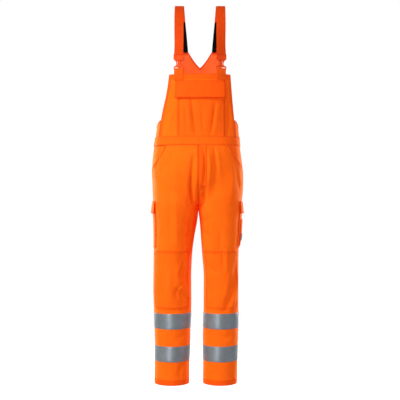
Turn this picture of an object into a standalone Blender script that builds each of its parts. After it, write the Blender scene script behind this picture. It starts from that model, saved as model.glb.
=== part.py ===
"""High-visibility bib overalls, hollow and filled out as when worn, on a general figure.

Metres, +Z up. The front faces -Y and the wearer's left is +X. The origin lies midway
between the two shoulder straps, at the height of their underside over the shoulders.

Every panel is a wall of cloth on a smooth surface: the body is one ring of sections,
each leg another, and the rise seam is where the body's ring turns into the two legs.
A point of the body has a height z and a turn a: 0 at centre front, 1 at the wearer's
left side, 2 at centre back and 3 (or -1) at the right side, spaced evenly in between.
A point of a leg has a height z and a turn s: 0 at the inseam, 1 at the side seam, by
way of the front, and on to 2 at the inseam again, by way of the back.
"""

import math
from collections import namedtuple
from functools import lru_cache

import bmesh
import bpy
from mathutils import Vector

# Cloth and gaps
CLOTH = 0.0016
DOUBLE_CLOTH = 0.0026
TAPE_THICK = 0.0012
WEBBING = 0.0020
ELASTIC = 0.0018
SEAM_GAP = 0.0003
LAY_GAP = 0.0006
SEAM_TURN = 0.0006
LINE_MARGIN = 0.004

# Heights under the shoulders
BACK_TOP_Z = -0.187
V_NECK_Z = -0.254
BIB_TOP_Z = -0.3125
WAIST_TOP_Z = -0.5790
WAIST_LOW_Z = -0.6165
RISE_Z = -0.700
CROTCH_Z = -0.876
KNEE_TOP_Z = -1.071
KNEE_LOW_Z = -1.322
HEM_Z = -1.6535

# Bib pocket and flap
BIB_MIDDLE = 0.004
POCKET_HALF = 0.1005
POCKET_SHARE = 0.6
POCKET_TOP_Z = -0.352
FLAP_TOP_Z = -0.342
FLAP_LOW_Z = -0.418
FLAP_RIGHT_X = -0.1015
FLAP_LIFT = 0.004

# Back panel
V_NECK_HALF = 0.052
STRAP_END_X = 0.093
ARMHOLE_Z = -0.530
ARMHOLE_TURN = 0.030
ARMHOLE_LOW_Z = -0.535
WING_RISE = 0.052
WING_STARTS = 0.72

# Waistband
BAND_PROUD = 0.0010
BAND_THICK = 0.0030
ELASTIC_RIBS = 48
RIB_DEPTH = 0.0010

# Fly
FLY_TURN = 0.135
FLY_COLUMNS_TURN = 0.18
FLY_LOW_Z = -0.795

# Front pocket openings
OPENING_LOW_Z = -0.7326
FACING_LOW_Z = -0.729
FACING_COVERED = 0.3
FACING_WIDE = 0.06
FACING_UNDER = 0.024
FACING_DROP = 0.0030

# Thigh pockets, in turns of the leg
THIGH_FRONT, THIGH_BACK = 10 / 12, 16 / 12
THIGH_TOP_Z, THIGH_LOW_Z = -0.870, -1.0605
THIGH_FLAP_TOP_Z, THIGH_FLAP_LOW_Z = -0.856, -0.9086
THIGH_BULGE = 0.0045
THIGH_FLAP_LIFT = 0.0020
FLAP_SEAM = 0.011
FLAP_LAY = 0.0012
FLAP_OVER = 0.012
TOOL_FRONT, TOOL_BACK = 10.6 / 12, 12.6 / 12
TOOL_TOP_Z, TOOL_LOW_Z = -0.935, -1.050
TOOL_BULGE = 0.0015
TAB_FRONT, TAB_BACK = 10.75 / 12, 11.35 / 12
TAB_TOP_Z, TAB_LOW_Z = -0.996, -1.027

# Knee pockets, in turns of the leg
KNEE_INNER, KNEE_OUTER = 0.18, 10 / 12
KNEE_BULGE = 0.0015

# Reflective tapes
TAPE_WIDTH = 0.067
TAPE_TOPS = {"upper": -1.3430, "lower": -1.4850}

# Straps and buckles
STRAP_WIDTH = 0.040
STRAP_X = 0.0905
STRAP_TURNS_BACK = 0.026
STRAP_FLAT_Z, STRAP_TURNED_Z = -0.040, -0.215
BACK_TURN = math.radians(17)
BUCKLE_TOP_Z = -0.2250
BUCKLE_WIDTH = 0.0476
BUCKLE_LENGTH = 0.0680
SLOT_WIDTH = 0.0418
SLOT_HEIGHT = 0.0060
BAR_HEIGHT = 0.0030
FRAME_HEIGHT = 0.0120
FRAME_THICK = 0.0030
FRAME_LAP = 0.0035
SOCKET_HEIGHT = 0.0310
SOCKET_THICK = 0.0086
SOCKET_MOUTH_HALF = 0.0171
SOCKET_TAPER = 0.0070
STEM_THICK = 0.0030
STEM_TOP_HALF = 0.0112
STEM_LOW_HALF = 0.0125
PRONG_HALF = 0.0150
PRONG_DEPTH = 0.0150
PRONG_TIP_IN = 0.0030
SPLIT_X = 0.0068
SPLIT_WIDTH = 0.0022
PLAY = 0.0005
CUT_DEEP = 0.0200
THICK_EDGE = 0.0016
THIN_EDGE = 0.0005
LOOP_RADIUS = 0.0034
LOOP_FREE = 0.0120
TAB_SEWN = 0.0270

# Where a leg's grid lines run down it, in turns: closer together along the inner front
FRONT_TURNS = [0.0, 0.045, 0.09, FLY_TURN, FLY_COLUMNS_TURN, 0.23, 0.29, 0.36, 0.44, 0.53]
FRONT_TURNS += [0.62, 0.72, 10 / 12, 11 / 12]
BACK_TURNS = [1.0 + i / 12 for i in range(13)]
SIDES = {"right": -1, "left": 1}

Ring = namedtuple("Ring", "z x_right x_middle x_left y_front y_back square")
Leg = namedtuple("Leg", "z x_outer x_inner y_front y_back square")
Edge = namedtuple("Edge", "z right left")
Reach = namedtuple("Reach", "z value")
Fold = namedtuple("Fold", "z_top z_low x_top x_middle x_low width depth")
Path = namedtuple("Path", "z y lean")
Seat = namedtuple("Seat", "centre forward across turn")

# The body, from the shoulder blades to the crotch.
BODY = [
    Ring(-0.180, -0.152, 0.000, 0.152, -0.108, 0.100, 2.2),
    Ring(-0.310, -0.166, 0.000, 0.164, -0.120, 0.112, 2.3),
    Ring(-0.420, -0.177, -0.002, 0.166, -0.124, 0.118, 2.3),
    Ring(-0.520, -0.188, -0.005, 0.167, -0.124, 0.116, 2.3),
    Ring(-0.578, -0.195, -0.006, 0.172, -0.124, 0.115, 2.3),
    Ring(-0.617, -0.201, -0.007, 0.175, -0.127, 0.120, 2.3),
    Ring(-0.660, -0.207, -0.007, 0.181, -0.131, 0.132, 2.3),
    Ring(-0.720, -0.211, -0.007, 0.188, -0.134, 0.146, 2.2),
    Ring(-0.790, -0.208, -0.007, 0.189, -0.134, 0.150, 2.2),
    Ring(-0.876, -0.206, -0.007, 0.184, -0.124, 0.140, 2.1),
]
# The two legs, from above the rise to the hem.
LEGS = {
    "right": [
        Leg(-0.690, -0.209, -0.0070, -0.124, 0.138, 2.1),
        Leg(-0.790, -0.208, -0.0070, -0.120, 0.132, 2.1),
        Leg(-0.876, -0.204, -0.0072, -0.114, 0.116, 2.1),
        Leg(-0.904, -0.203, -0.0090, -0.112, 0.112, 2.1),
        Leg(-0.945, -0.200, -0.0140, -0.108, 0.106, 2.1),
        Leg(-1.010, -0.199, -0.0260, -0.102, 0.098, 2.1),
        Leg(-1.080, -0.202, -0.0352, -0.094, 0.090, 2.1),
        Leg(-1.168, -0.2030, -0.0396, -0.088, 0.086, 2.1),
        Leg(-1.250, -0.2040, -0.0396, -0.082, 0.088, 2.1),
        Leg(-1.330, -0.2015, -0.0400, -0.077, 0.090, 2.1),
        Leg(-1.415, -0.1985, -0.0440, -0.074, 0.086, 2.0),
        Leg(-1.485, -0.1965, -0.0450, -0.073, 0.082, 2.0),
        Leg(-1.560, -0.1975, -0.0480, -0.073, 0.080, 2.0),
        Leg(-1.6535, -0.1990, -0.0484, -0.074, 0.080, 2.0),
    ],
    "left": [
        Leg(-0.690, 0.187, -0.0070, -0.124, 0.138, 2.1),
        Leg(-0.790, 0.189, -0.0070, -0.120, 0.132, 2.1),
        Leg(-0.876, 0.181, -0.0068, -0.114, 0.116, 2.1),
        Leg(-0.904, 0.180, -0.0050, -0.112, 0.112, 2.1),
        Leg(-0.945, 0.177, 0.0000, -0.108, 0.106, 2.1),
        Leg(-1.010, 0.173, 0.0050, -0.102, 0.098, 2.1),
        Leg(-1.080, 0.168, 0.0100, -0.094, 0.090, 2.1),
        Leg(-1.168, 0.1672, 0.0172, -0.086, 0.084, 2.1),
        Leg(-1.250, 0.1672, 0.0176, -0.080, 0.084, 2.1),
        Leg(-1.330, 0.1672, 0.0172, -0.075, 0.084, 2.1),
        Leg(-1.415, 0.1665, 0.0150, -0.072, 0.082, 2.0),
        Leg(-1.485, 0.1650, 0.0140, -0.071, 0.080, 2.0),
        Leg(-1.560, 0.1630, 0.0150, -0.071, 0.078, 2.0),
        Leg(-1.6535, 0.1615, 0.0140, -0.072, 0.078, 2.0),
    ],
}
# The bib's side edges, as distances across from the middle of the straps.
BIB_EDGES = [
    Edge(-0.310, -0.1315, 0.1300),
    Edge(-0.355, -0.1375, 0.1335),
    Edge(-0.405, -0.1460, 0.1375),
    Edge(-0.455, -0.1580, 0.1420),
    Edge(-0.515, -0.1690, 0.1480),
    Edge(-0.580, -0.1735, 0.1520),
]
# The back panel's side edges, as a share of the way from centre back to the side.
BACK_EDGES = [
    Reach(-0.180, 0.44),
    Reach(-0.250, 0.46),
    Reach(-0.330, 0.50),
    Reach(-0.420, 0.58),
    Reach(-0.480, 0.68),
    Reach(-0.518, 0.82),
    Reach(-0.542, 1.00),
]
# How far the front pocket's opening stays from the side seam.
OPENING = [
    Reach(-0.6165, 0.112),
    Reach(-0.6500, 0.098),
    Reach(-0.6850, 0.070),
    Reach(OPENING_LOW_Z, 0.0),
]
# Where a strap runs from above its buckle, over the shoulder and down the back.
STRAP_PATH = [
    Path(-0.1800, -0.1045, 0.0005),
    Path(-0.1000, -0.0850, 0.0000),
    Path(-0.0400, -0.0560, 0.0000),
    Path(-0.0060, -0.0200, 0.0000),
    Path(-0.0010, 0.0080, 0.0005),
    Path(-0.0180, 0.0400, 0.0020),
    Path(-0.0560, 0.0640, 0.0050),
]
# The elastic that carries each strap on to the back panel.
ELASTIC_PATH = [
    Path(-0.0560, 0.0640, 0.0050),
    Path(-0.1000, 0.0820, 0.0095),
    Path(-0.1450, 0.0910, 0.0140),
    Path(-0.1840, 0.0955, 0.0180),
]

# The largest folds: a trough has a positive depth and a ridge a negative one.
FRONT_FOLDS = [
    Fold(-0.660, -1.130, -0.029, -0.044, -0.056, 0.013, 0.0085),
    Fold(-0.760, -0.980, -0.016, -0.021, -0.026, 0.010, -0.0030),
    Fold(-0.622, -0.815, 0.013, 0.023, 0.010, 0.011, 0.0060),
    Fold(-0.622, -0.880, 0.030, 0.040, 0.028, 0.012, -0.0035),
    Fold(-0.790, -0.960, 0.022, 0.016, 0.014, 0.011, 0.0060),
    Fold(-0.622, -0.790, 0.061, 0.065, 0.070, 0.011, 0.0045),
    Fold(-1.080, -1.200, -0.080, -0.078, -0.072, 0.017, 0.0060),
    Fold(-1.235, -1.350, -0.084, -0.078, -0.070, 0.022, 0.0060),
    Fold(-1.110, -1.345, 0.156, 0.137, 0.107, 0.014, 0.0065),
    Fold(-1.150, -1.300, 0.140, 0.122, 0.100, 0.014, -0.0030),
    Fold(-0.380, -0.578, -0.039, -0.028, -0.016, 0.014, 0.0035),
    Fold(-0.430, -0.578, 0.064, 0.055, 0.044, 0.012, 0.0045),
    Fold(-0.430, -0.578, 0.112, 0.116, 0.115, 0.012, 0.0045),
]
BACK_FOLDS = [
    Fold(-0.300, -0.570, -0.050, -0.040, -0.055, 0.016, 0.0040),
    Fold(-0.340, -0.570, 0.045, 0.052, 0.040, 0.016, 0.0040),
    Fold(-0.800, -0.960, -0.060, -0.085, -0.110, 0.018, 0.0060),
    Fold(-0.810, -0.970, 0.045, 0.070, 0.098, 0.018, 0.0060),
    Fold(-0.900, -1.120, -0.150, -0.140, -0.135, 0.016, 0.0050),
    Fold(-0.900, -1.100, 0.125, 0.116, 0.110, 0.016, 0.0050),
    Fold(-1.040, -1.150, -0.110, -0.095, -0.085, 0.016, 0.0060),
    Fold(-1.050, -1.160, 0.070, 0.082, 0.095, 0.016, 0.0060),
    Fold(-1.170, -1.320, -0.135, -0.125, -0.120, 0.018, 0.0055),
    Fold(-1.180, -1.330, 0.105, 0.098, 0.090, 0.018, 0.0055),
]

# Finishes: sRGB colour, roughness, metallic
FINISHES = {
    "orange_cloth": ((1.00, 0.42, 0.07), 0.85, 0.0),
    "orange_webbing": ((0.95, 0.33, 0.07), 0.80, 0.0),
    "orange_plastic": ((0.94, 0.34, 0.08), 0.40, 0.0),
    "black_elastic": ((0.07, 0.07, 0.08), 0.90, 0.0),
    "grey_tape": ((0.58, 0.62, 0.66), 0.35, 0.2),
    "grey_tab": ((0.55, 0.56, 0.58), 0.70, 0.0),
}


def clear_scene():
    """Removes what the scene holds and starts the two collections."""
    for thing in list(bpy.data.objects):
        bpy.data.objects.remove(thing, do_unlink=True)
    made = {}
    for name in ("bib_overalls", "cutters"):
        made[name] = bpy.data.collections.new(name)
        bpy.context.scene.collection.children.link(made[name])
    return made["bib_overalls"], made["cutters"]


def linear(value):
    """One channel of an sRGB colour as linear light."""
    if value <= 0.04045:
        return value / 12.92
    return ((value + 0.055) / 1.055) ** 2.4


def make_finish(name):
    """The Principled material of one finish."""
    colour, roughness, metallic = FINISHES[name]
    material = bpy.data.materials.new(name)
    material.use_nodes = True
    shader = material.node_tree.nodes["Principled BSDF"]
    shader.inputs["Base Color"].default_value = (*[linear(c) for c in colour], 1.0)
    shader.inputs["Roughness"].default_value = roughness
    shader.inputs["Metallic"].default_value = metallic
    return material


def smooth_step(low, high, value):
    """0 under low, 1 over high and an even curve between."""
    share = min(max((value - low) / (high - low), 0.0), 1.0)
    return share * share * (3.0 - 2.0 * share)


def spaced(first, last, spans):
    """The heights that split first to last into even spans, without the last."""
    return [first + (last - first) * i / spans for i in range(spans)]


def between(lines, first, last):
    """The grid lines from first to last: both ends, and those of the panel in between."""
    low, high = min(first, last) + LINE_MARGIN, max(first, last) - LINE_MARGIN
    inner = [line for line in lines if low < line < high]
    return sorted([first, *inner, last], reverse=first > last)


@lru_cache(maxsize=None)
def row_slopes(key):
    """How fast each column of a table changes with height, at each of its rows."""
    table = TABLES[key]
    slopes = []
    for i, row in enumerate(table):
        above = table[max(i - 1, 0)]
        below = table[min(i + 1, len(table) - 1)]
        rise = below[0] - above[0]
        slopes.append([(below[c] - above[c]) / rise for c in range(1, len(row))])
    return slopes


@lru_cache(maxsize=None)
def at_height(key, z):
    """The columns of a table at height z, on a smooth curve through its rows."""
    table = TABLES[key]
    slopes = row_slopes(key)
    z = min(max(z, table[-1][0]), table[0][0])
    i = 0
    while i < len(table) - 2 and z < table[i + 1][0]:
        i += 1
    span = table[i + 1][0] - table[i][0]
    t = (z - table[i][0]) / span
    t2, t3 = t * t, t * t * t
    values = []
    for c in range(1, len(table[0])):
        start, end = table[i][c], table[i + 1][c]
        leave, arrive = slopes[i][c - 1] * span, slopes[i + 1][c - 1] * span
        values.append(
            (2 * t3 - 3 * t2 + 1) * start
            + (t3 - 2 * t2 + t) * leave
            + (3 * t2 - 2 * t3) * end
            + (t3 - t2) * arrive
        )
    return values


TABLES = {
    "body": BODY,
    "leg_right": LEGS["right"],
    "leg_left": LEGS["left"],
    "bib_edges": BIB_EDGES,
    "back_edges": BACK_EDGES,
    "opening": OPENING,
}


@lru_cache(maxsize=None)
def quarter(half_width, half_depth, square):
    """A quarter of a rounded section, from its front to its side, with running lengths."""
    points = []
    for i in range(65):
        angle = 0.5 * math.pi * i / 64
        x = half_width * math.sin(angle) ** (2.0 / square)
        y = half_depth * max(math.cos(angle), 0.0) ** (2.0 / square)
        points.append((x, y))
    lengths = [0.0]
    for (x0, y0), (x1, y1) in zip(points, points[1:]):
        lengths.append(lengths[-1] + math.hypot(x1 - x0, y1 - y0))
    return points, lengths


def on_quarter(curve, share):
    """The point at a share of a quarter's length from its front."""
    points, lengths = curve
    target = min(max(share, 0.0), 1.0) * lengths[-1]
    i = 0
    while i < len(points) - 2 and lengths[i + 1] < target:
        i += 1
    part = (target - lengths[i]) / (lengths[i + 1] - lengths[i])
    x = points[i][0] + part * (points[i + 1][0] - points[i][0])
    y = points[i][1] + part * (points[i + 1][1] - points[i][1])
    return x, y


def body_quarter(z, left_half):
    """The body's quarter section at height z, on the wearer's left or right."""
    x_right, x_middle, x_left, y_front, y_back, square = at_height("body", z)
    half_width = x_left - x_middle if left_half else x_middle - x_right
    return quarter(half_width, 0.5 * (y_back - y_front), square)


def body_ring(z, a):
    """The body's smooth point at height z and turn a, before any fold."""
    _, x_middle, _, y_front, y_back, _ = at_height("body", z)
    a = a % 4.0
    left_half = a <= 2.0
    share = a if left_half else 4.0 - a
    from_front = share <= 1.0
    x, y = on_quarter(body_quarter(z, left_half), share if from_front else 2.0 - share)
    x = x_middle + (x if left_half else -x)
    y = 0.5 * (y_front + y_back) + (-y if from_front else y)
    return Vector((x, y, z))


def body_turn(z, x):
    """The turn at which the body's front has the given x at height z, negative on the right."""
    x_middle = at_height("body", z)[1]
    points, lengths = body_quarter(z, x > x_middle)
    reach = min(abs(x - x_middle), points[-1][0])
    i = 0
    while i < len(points) - 2 and points[i + 1][0] < reach:
        i += 1
    part = (reach - points[i][0]) / (points[i + 1][0] - points[i][0])
    share = (lengths[i] + part * (lengths[i + 1] - lengths[i])) / lengths[-1]
    return math.copysign(share, x - x_middle)


def leg_ring(side, z, s):
    """A leg's smooth point at height z and turn s, before any fold."""
    x_outer, x_inner, y_front, y_back, square = at_height(f"leg_{side}", z)
    to_front = s if s <= 1.0 else 2.0 - s
    curve = quarter(0.5 * abs(x_outer - x_inner), 0.5 * (y_back - y_front), square)
    outer_half = to_front >= 0.5
    x, y = on_quarter(curve, 2.0 * to_front - 1.0 if outer_half else 1.0 - 2.0 * to_front)
    outward = SIDES[side]
    x = 0.5 * (x_outer + x_inner) + outward * (x if outer_half else -x)
    y = 0.5 * (y_front + y_back) + (-y if s <= 1.0 else y)
    return Vector((x, y, z))


def leg_share(z, s):
    """How far the body has turned into a leg: 0 at the hips, 1 at the crotch.

    The seam between the legs curves under the body like a quarter of an oval. Further
    round the leg the change is even, so that the thigh runs smoothly into the hip.
    """
    drop = min(max((RISE_Z - z) / (RISE_Z - CROTCH_Z), 0.0), 1.0)
    curved = 1.0 - math.sqrt(1.0 - drop * drop)
    even = smooth_step(0.0, 1.0, drop)
    return curved + (even - curved) * smooth_step(0.10, 0.55, min(s, 2.0 - s))


def fold_shift(point, folds):
    """How deep the folds push a point in: the sum over the folds that it lies in."""
    total = 0.0
    for fold in folds:
        along = (fold.z_top - point.z) / (fold.z_top - fold.z_low)
        if not 0.0 < along < 1.0:
            continue
        bend = 4.0 * along * (1.0 - along) * (fold.x_middle - 0.5 * (fold.x_top + fold.x_low))
        x = fold.x_top + (fold.x_low - fold.x_top) * along + bend
        across = (point.x - x) / fold.width
        total += fold.depth * math.exp(-across * across) * math.sin(math.pi * along) ** 0.6
    return total


def creased(point, on_front, strength):
    """A point with the folds of its side of the garment pushed in."""
    if on_front:
        point.y += strength * fold_shift(point, FRONT_FOLDS)
    else:
        point.y -= strength * fold_shift(point, BACK_FOLDS)
    return point


def body_point(z, a):
    """The body's outer point, folds included."""
    from_side = abs(abs((a + 2.0) % 4.0 - 2.0) - 1.0)
    on_front = math.cos(0.5 * math.pi * a) >= 0.0
    return creased(body_ring(z, a), on_front, smooth_step(0.0, 0.25, from_side))


def trouser_point(side, z, s):
    """A leg panel's outer point, from the waistband to the hem, folds included."""
    if z > CROTCH_Z:
        s = min(max(s, 0.0), 2.0)
        body = body_ring(z, SIDES[side] * s)
        point = body.lerp(leg_ring(side, z, s), leg_share(z, s))
    else:
        s = s % 2.0
        point = leg_ring(side, z, s)
    from_seam = min(abs(s - round(s)) * 2.0, 1.0)
    fade = smooth_step(0.0, 0.22, from_seam) if z < CROTCH_Z else 1.0
    if s > 0.5 and s < 1.5:
        fade = smooth_step(0.0, 0.30, from_seam)
    if s <= 0.5 or s >= 1.5:
        fade = fade * smooth_step(0.0, 0.06, from_seam)
    return creased(point, s <= 1.0, fade)


@lru_cache(maxsize=None)
def half_length(side, z):
    """The length of cloth from the middle of a leg panel's inner edge to its side seam."""
    points = [trouser_point(side, z, i / 12) for i in range(13)]
    return sum((b - a).length for a, b in zip(points, points[1:]))


def normal_at(point, z, turn, low=None, high=None):
    """The outward normal of a surface; low and high bound the turn where the surface ends."""
    step_z, step_turn = 0.0015, 0.012
    before = turn - step_turn if low is None else max(turn - step_turn, low)
    after = turn + step_turn if high is None else min(turn + step_turn, high)
    across = point(z, after) - point(z, before)
    down = point(z - step_z, turn) - point(z + step_z, turn)
    return down.cross(across).normalized()


class Surface:
    """The outer face of a stretch of cloth, as the grid of facets that its solid has."""

    def __init__(self, point, rows, columns, outward, normal=None):
        self.rows = rows
        self.columns = columns
        self.points = [[point(z, turn) for turn in columns] for z in rows]
        find = normal or (lambda z, turn: normal_at(point, z, turn) * outward)
        self.normals = [[find(z, turn) for turn in columns] for z in rows]

    def at(self, z, turn, out=0.0):
        """The point of the facets at a height and turn, moved out by a distance."""
        i = self.cell(self.rows, z)
        j = self.cell(self.columns, turn)
        p = (z - self.rows[i]) / (self.rows[i + 1] - self.rows[i])
        q = (turn - self.columns[j]) / (self.columns[j + 1] - self.columns[j])
        here = self.blend(self.points, i, j, p, q)
        return here + self.blend(self.normals, i, j, p, q).normalized() * out

    @staticmethod
    def cell(lines, value):
        """The index of the span of grid lines that holds a value."""
        rising = lines[-1] > lines[0]
        i = 0
        while i < len(lines) - 2 and (value > lines[i + 1]) == rising and value != lines[i + 1]:
            i += 1
        return i

    @staticmethod
    def blend(grid, i, j, p, q):
        """A value inside a facet, which is split along one diagonal."""
        start, end = grid[i][j], grid[i + 1][j + 1]
        if q >= p:
            corner = grid[i][j + 1]
            return start + (corner - start) * q + (end - corner) * p
        corner = grid[i + 1][j]
        return start + (corner - start) * p + (end - corner) * q

    def patch(self, rows, columns, out):
        """A grid of points over part of the surface; out is a distance or gives one."""
        reach = out if callable(out) else (lambda z, turn: out)
        return [[self.at(z, turn, reach(z, turn)) for turn in columns] for z in rows]

    def wall(self, thick):
        """The surface's own grid and the same grid moved in by a wall's thickness."""
        inner = [
            [point - normal * thick for point, normal in zip(*pair)]
            for pair in zip(self.points, self.normals)
        ]
        return self.points, inner


class Garment:
    """Collects the pieces: each is a closed wall between two grids, or a moulded part."""

    def __init__(self):
        self.pieces, self.cutters = clear_scene()
        self.finishes = {name: make_finish(name) for name in FINISHES}

    def add_mesh(self, name, body, finish, home=None):
        """Turns a finished bmesh into a named object with its material."""
        bmesh.ops.recalc_face_normals(body, faces=body.faces)
        mesh = bpy.data.meshes.new(name)
        body.to_mesh(mesh)
        body.free()
        mesh.shade_smooth()
        mesh.set_sharp_from_angle(angle=math.radians(38))
        thing = bpy.data.objects.new(name, mesh)
        mesh.materials.append(self.finishes[finish])
        (home or self.pieces).objects.link(thing)
        return thing

    def add_wall(self, name, outer, inner, finish, around=False):
        """A wall between two grids of points; around joins its last column to its first."""
        body = bmesh.new()
        skins = [[[body.verts.new(p) for p in row] for row in grid] for grid in (outer, inner)]
        rows, columns = len(outer), len(outer[0])
        across = [(j, (j + 1) % columns) for j in range(columns if around else columns - 1)]
        for skin in skins:
            for i in range(rows - 1):
                for j, k in across:
                    body.faces.new((skin[i][j], skin[i][k], skin[i + 1][k], skin[i + 1][j]))
        front, back = skins
        for i in (0, rows - 1):
            for j, k in across:
                body.faces.new((front[i][j], front[i][k], back[i][k], back[i][j]))
        for j in () if around else (0, columns - 1):
            for i in range(rows - 1):
                body.faces.new((front[i][j], front[i + 1][j], back[i + 1][j], back[i][j]))
        return self.add_mesh(name, body, finish)

    def add_band(self, name, path, across, width, thick, finish):
        """A flat band of webbing along a path, level across the given directions."""
        outer, inner = [], []
        for i, (here, side) in enumerate(zip(path, across)):
            along = path[min(i + 1, len(path) - 1)] - path[max(i - 1, 0)]
            normal = along.cross(side).normalized()
            edges = [side * step * width for step in (-0.5, 0.0, 0.5)]
            outer.append([here + edge + normal * 0.5 * thick for edge in edges])
            inner.append([here + edge - normal * 0.5 * thick for edge in edges])
        return self.add_wall(name, outer, inner, finish)

    def add_plate(self, name, outline, thick, place, turn, edge):
        """A flat plastic part of an outline given across and up, with rounded edges."""
        body = bmesh.new()
        corners = [body.verts.new((x, 0.5 * thick, y)) for x, y in outline]
        face = body.faces.new(corners)
        grown = bmesh.ops.extrude_face_region(body, geom=[face])["geom"]
        moved = [item for item in grown if isinstance(item, bmesh.types.BMVert)]
        bmesh.ops.translate(body, verts=moved, vec=(0.0, -thick, 0.0))
        thing = self.add_mesh(name, body, "orange_plastic")
        thing.location = place
        thing.rotation_euler = (0.0, 0.0, turn)
        rounding = thing.modifiers.new("Bevel", "BEVEL")
        rounding.width = edge
        rounding.segments = 1
        rounding.angle_limit = math.radians(50)
        return thing

    def add_cutter(self, name, size, centre, place, turn):
        """A box that cuts a plastic part: its size across, up and deep, and its centre."""
        body = bmesh.new()
        bmesh.ops.create_cube(body, size=1.0)
        width, height, depth = size
        for vert in body.verts:
            vert.co = (
                vert.co.x * width + centre[0],
                vert.co.y * depth,
                vert.co.z * height + centre[1],
            )
        thing = self.add_mesh(name, body, "orange_plastic", self.cutters)
        thing.location = place
        thing.rotation_euler = (0.0, 0.0, turn)
        thing.hide_render = True
        thing.display_type = "WIRE"
        return thing

    def move_to_cutters(self, thing):
        """Turns a plate into one that only joins another."""
        self.pieces.objects.unlink(thing)
        self.cutters.objects.link(thing)
        thing.hide_render = True
        thing.display_type = "WIRE"

    @staticmethod
    def combine(thing, other, operation):
        """Adds a Boolean of one object with another."""
        joint = thing.modifiers.new(operation.capitalize(), "BOOLEAN")
        joint.operation = operation
        joint.object = other


def leg_rows():
    """The heights of a leg panel's grid lines, closer together round the crotch."""
    hip = spaced(WAIST_LOW_Z - SEAM_GAP, OPENING_LOW_Z, 5) + [OPENING_LOW_Z]
    steps = [math.sin(0.5 * math.pi * i / 7) for i in range(2, 8)]
    rise = [RISE_Z + (CROTCH_Z - RISE_Z) * step for step in steps]
    thigh = spaced(CROTCH_Z, KNEE_TOP_Z, 6)[1:]
    knee = spaced(KNEE_TOP_Z, KNEE_LOW_Z, 6)
    shin = spaced(KNEE_LOW_Z, HEM_Z, 7) + [HEM_Z]
    return hip + rise + thigh + knee + shin


def bib_turn(z, u):
    """The body's turn at a share u across the bib, whose pocket spans a fixed share."""
    right, left = at_height("bib_edges", z)
    edge = right if u < 0.0 else left
    pocket = BIB_MIDDLE + math.copysign(POCKET_HALF, u)
    if abs(u) <= POCKET_SHARE:
        return body_turn(z, BIB_MIDDLE + POCKET_HALF * u / POCKET_SHARE)
    part = (abs(u) - POCKET_SHARE) / (1.0 - POCKET_SHARE)
    return body_turn(z, pocket + (edge - pocket) * part)


def bib_share(x):
    """The share u across the bib's top edge that has a given x."""
    right, left = at_height("bib_edges", BIB_TOP_Z)
    offset = x - BIB_MIDDLE
    if abs(offset) <= POCKET_HALF:
        return POCKET_SHARE * offset / POCKET_HALF
    edge = abs((right if offset < 0.0 else left) - BIB_MIDDLE)
    part = (abs(offset) - POCKET_HALF) / (edge - POCKET_HALF)
    return math.copysign(POCKET_SHARE + (1.0 - POCKET_SHARE) * part, offset)


def make_bib(garment):
    """The bib's front panel, its pocket patch and the flap over the pocket's mouth."""
    low = WAIST_TOP_Z + SEAM_GAP
    rows = spaced(BIB_TOP_Z, low, 9) + [low]
    inside = spaced(-POCKET_SHARE, POCKET_SHARE, 10) + [POCKET_SHARE]
    columns = [-1.0, -0.8, *inside, 0.8, 1.0]
    bib = Surface(lambda z, u: body_point(z, bib_turn(z, u)), rows, columns, 1.0)
    garment.add_wall("bib_front", *bib.wall(CLOTH), "orange_cloth")

    top = LAY_GAP + CLOTH
    grid = between(rows, POCKET_TOP_Z, low), between(columns, -POCKET_SHARE, POCKET_SHARE)
    garment.add_wall("bib_pocket", bib.patch(*grid, top), bib.patch(*grid, LAY_GAP), "orange_cloth")

    def underside(z, u):
        down = (z - FLAP_TOP_Z) / (FLAP_LOW_Z - FLAP_TOP_Z)
        corner = smooth_step(0.2, POCKET_SHARE, u)
        return top + LAY_GAP + FLAP_LIFT * down * (0.3 + 0.7 * corner)

    def face(z, u):
        return underside(z, u) + DOUBLE_CLOTH

    grid = between(rows, FLAP_TOP_Z, FLAP_LOW_Z), between(columns, bib_share(FLAP_RIGHT_X), POCKET_SHARE)
    garment.add_wall("bib_flap", bib.patch(*grid, face), bib.patch(*grid, underside), "orange_cloth")
    return bib


def wing_lift(z, u, low):
    """How far the back panel rises past the side, where it meets the bib's edge."""
    meets = ARMHOLE_Z - ARMHOLE_TURN
    share = (z - low) / (meets - low)
    if z >= meets:
        share = smooth_step(0.0, 1.0, (ARMHOLE_LOW_Z - z) / (ARMHOLE_LOW_Z - meets))
    return WING_RISE * share * smooth_step(WING_STARTS, 1.0, abs(u))


def back_reach(z, edge_z, side):
    """The back panel's half width, as a share of the way round to the side."""
    x = at_height("bib_edges", edge_z)[0 if side < 0 else 1]
    meets = 2.0 - abs(body_turn(edge_z, x)) - 2.0 * SEAM_TURN
    free = at_height("back_edges", z)[0]
    return free + (meets - free) * smooth_step(0.0, 1.0, (ARMHOLE_Z - z) / ARMHOLE_TURN)


def make_back(garment):
    """The back panel, from the waistband to a V neck between the two strap ends."""
    low = WAIST_TOP_Z + SEAM_GAP
    strap_share = V_NECK_HALF / STRAP_END_X

    def point(v, u):
        across = min(abs(u) / strap_share, 1.0)
        top = V_NECK_Z + (BACK_TOP_Z - V_NECK_Z) * across**1.15
        z = low + (top - low) * v
        reach = back_reach(z, z + wing_lift(z, 1.0, low), -1 if u > 0.0 else 1)
        return body_point(z + wing_lift(z, u, low), 2.0 + u * reach)

    rows = [1.0, 0.9, 0.8, 0.65, 0.5, 0.36, 0.25, 0.17, 0.112]
    rows += [0.092, 0.070, 0.0477, 0.036, 0.024, 0.012, 0.0]
    side = spaced(strap_share, 1.0, 4) + [1.0]
    inside = spaced(-strap_share, strap_share, 8)
    columns = [-share for share in reversed(side)][:-1] + inside + side
    back = Surface(point, rows, columns, 1.0)
    garment.add_wall("bib_back", *back.wall(CLOTH), "orange_cloth")


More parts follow.
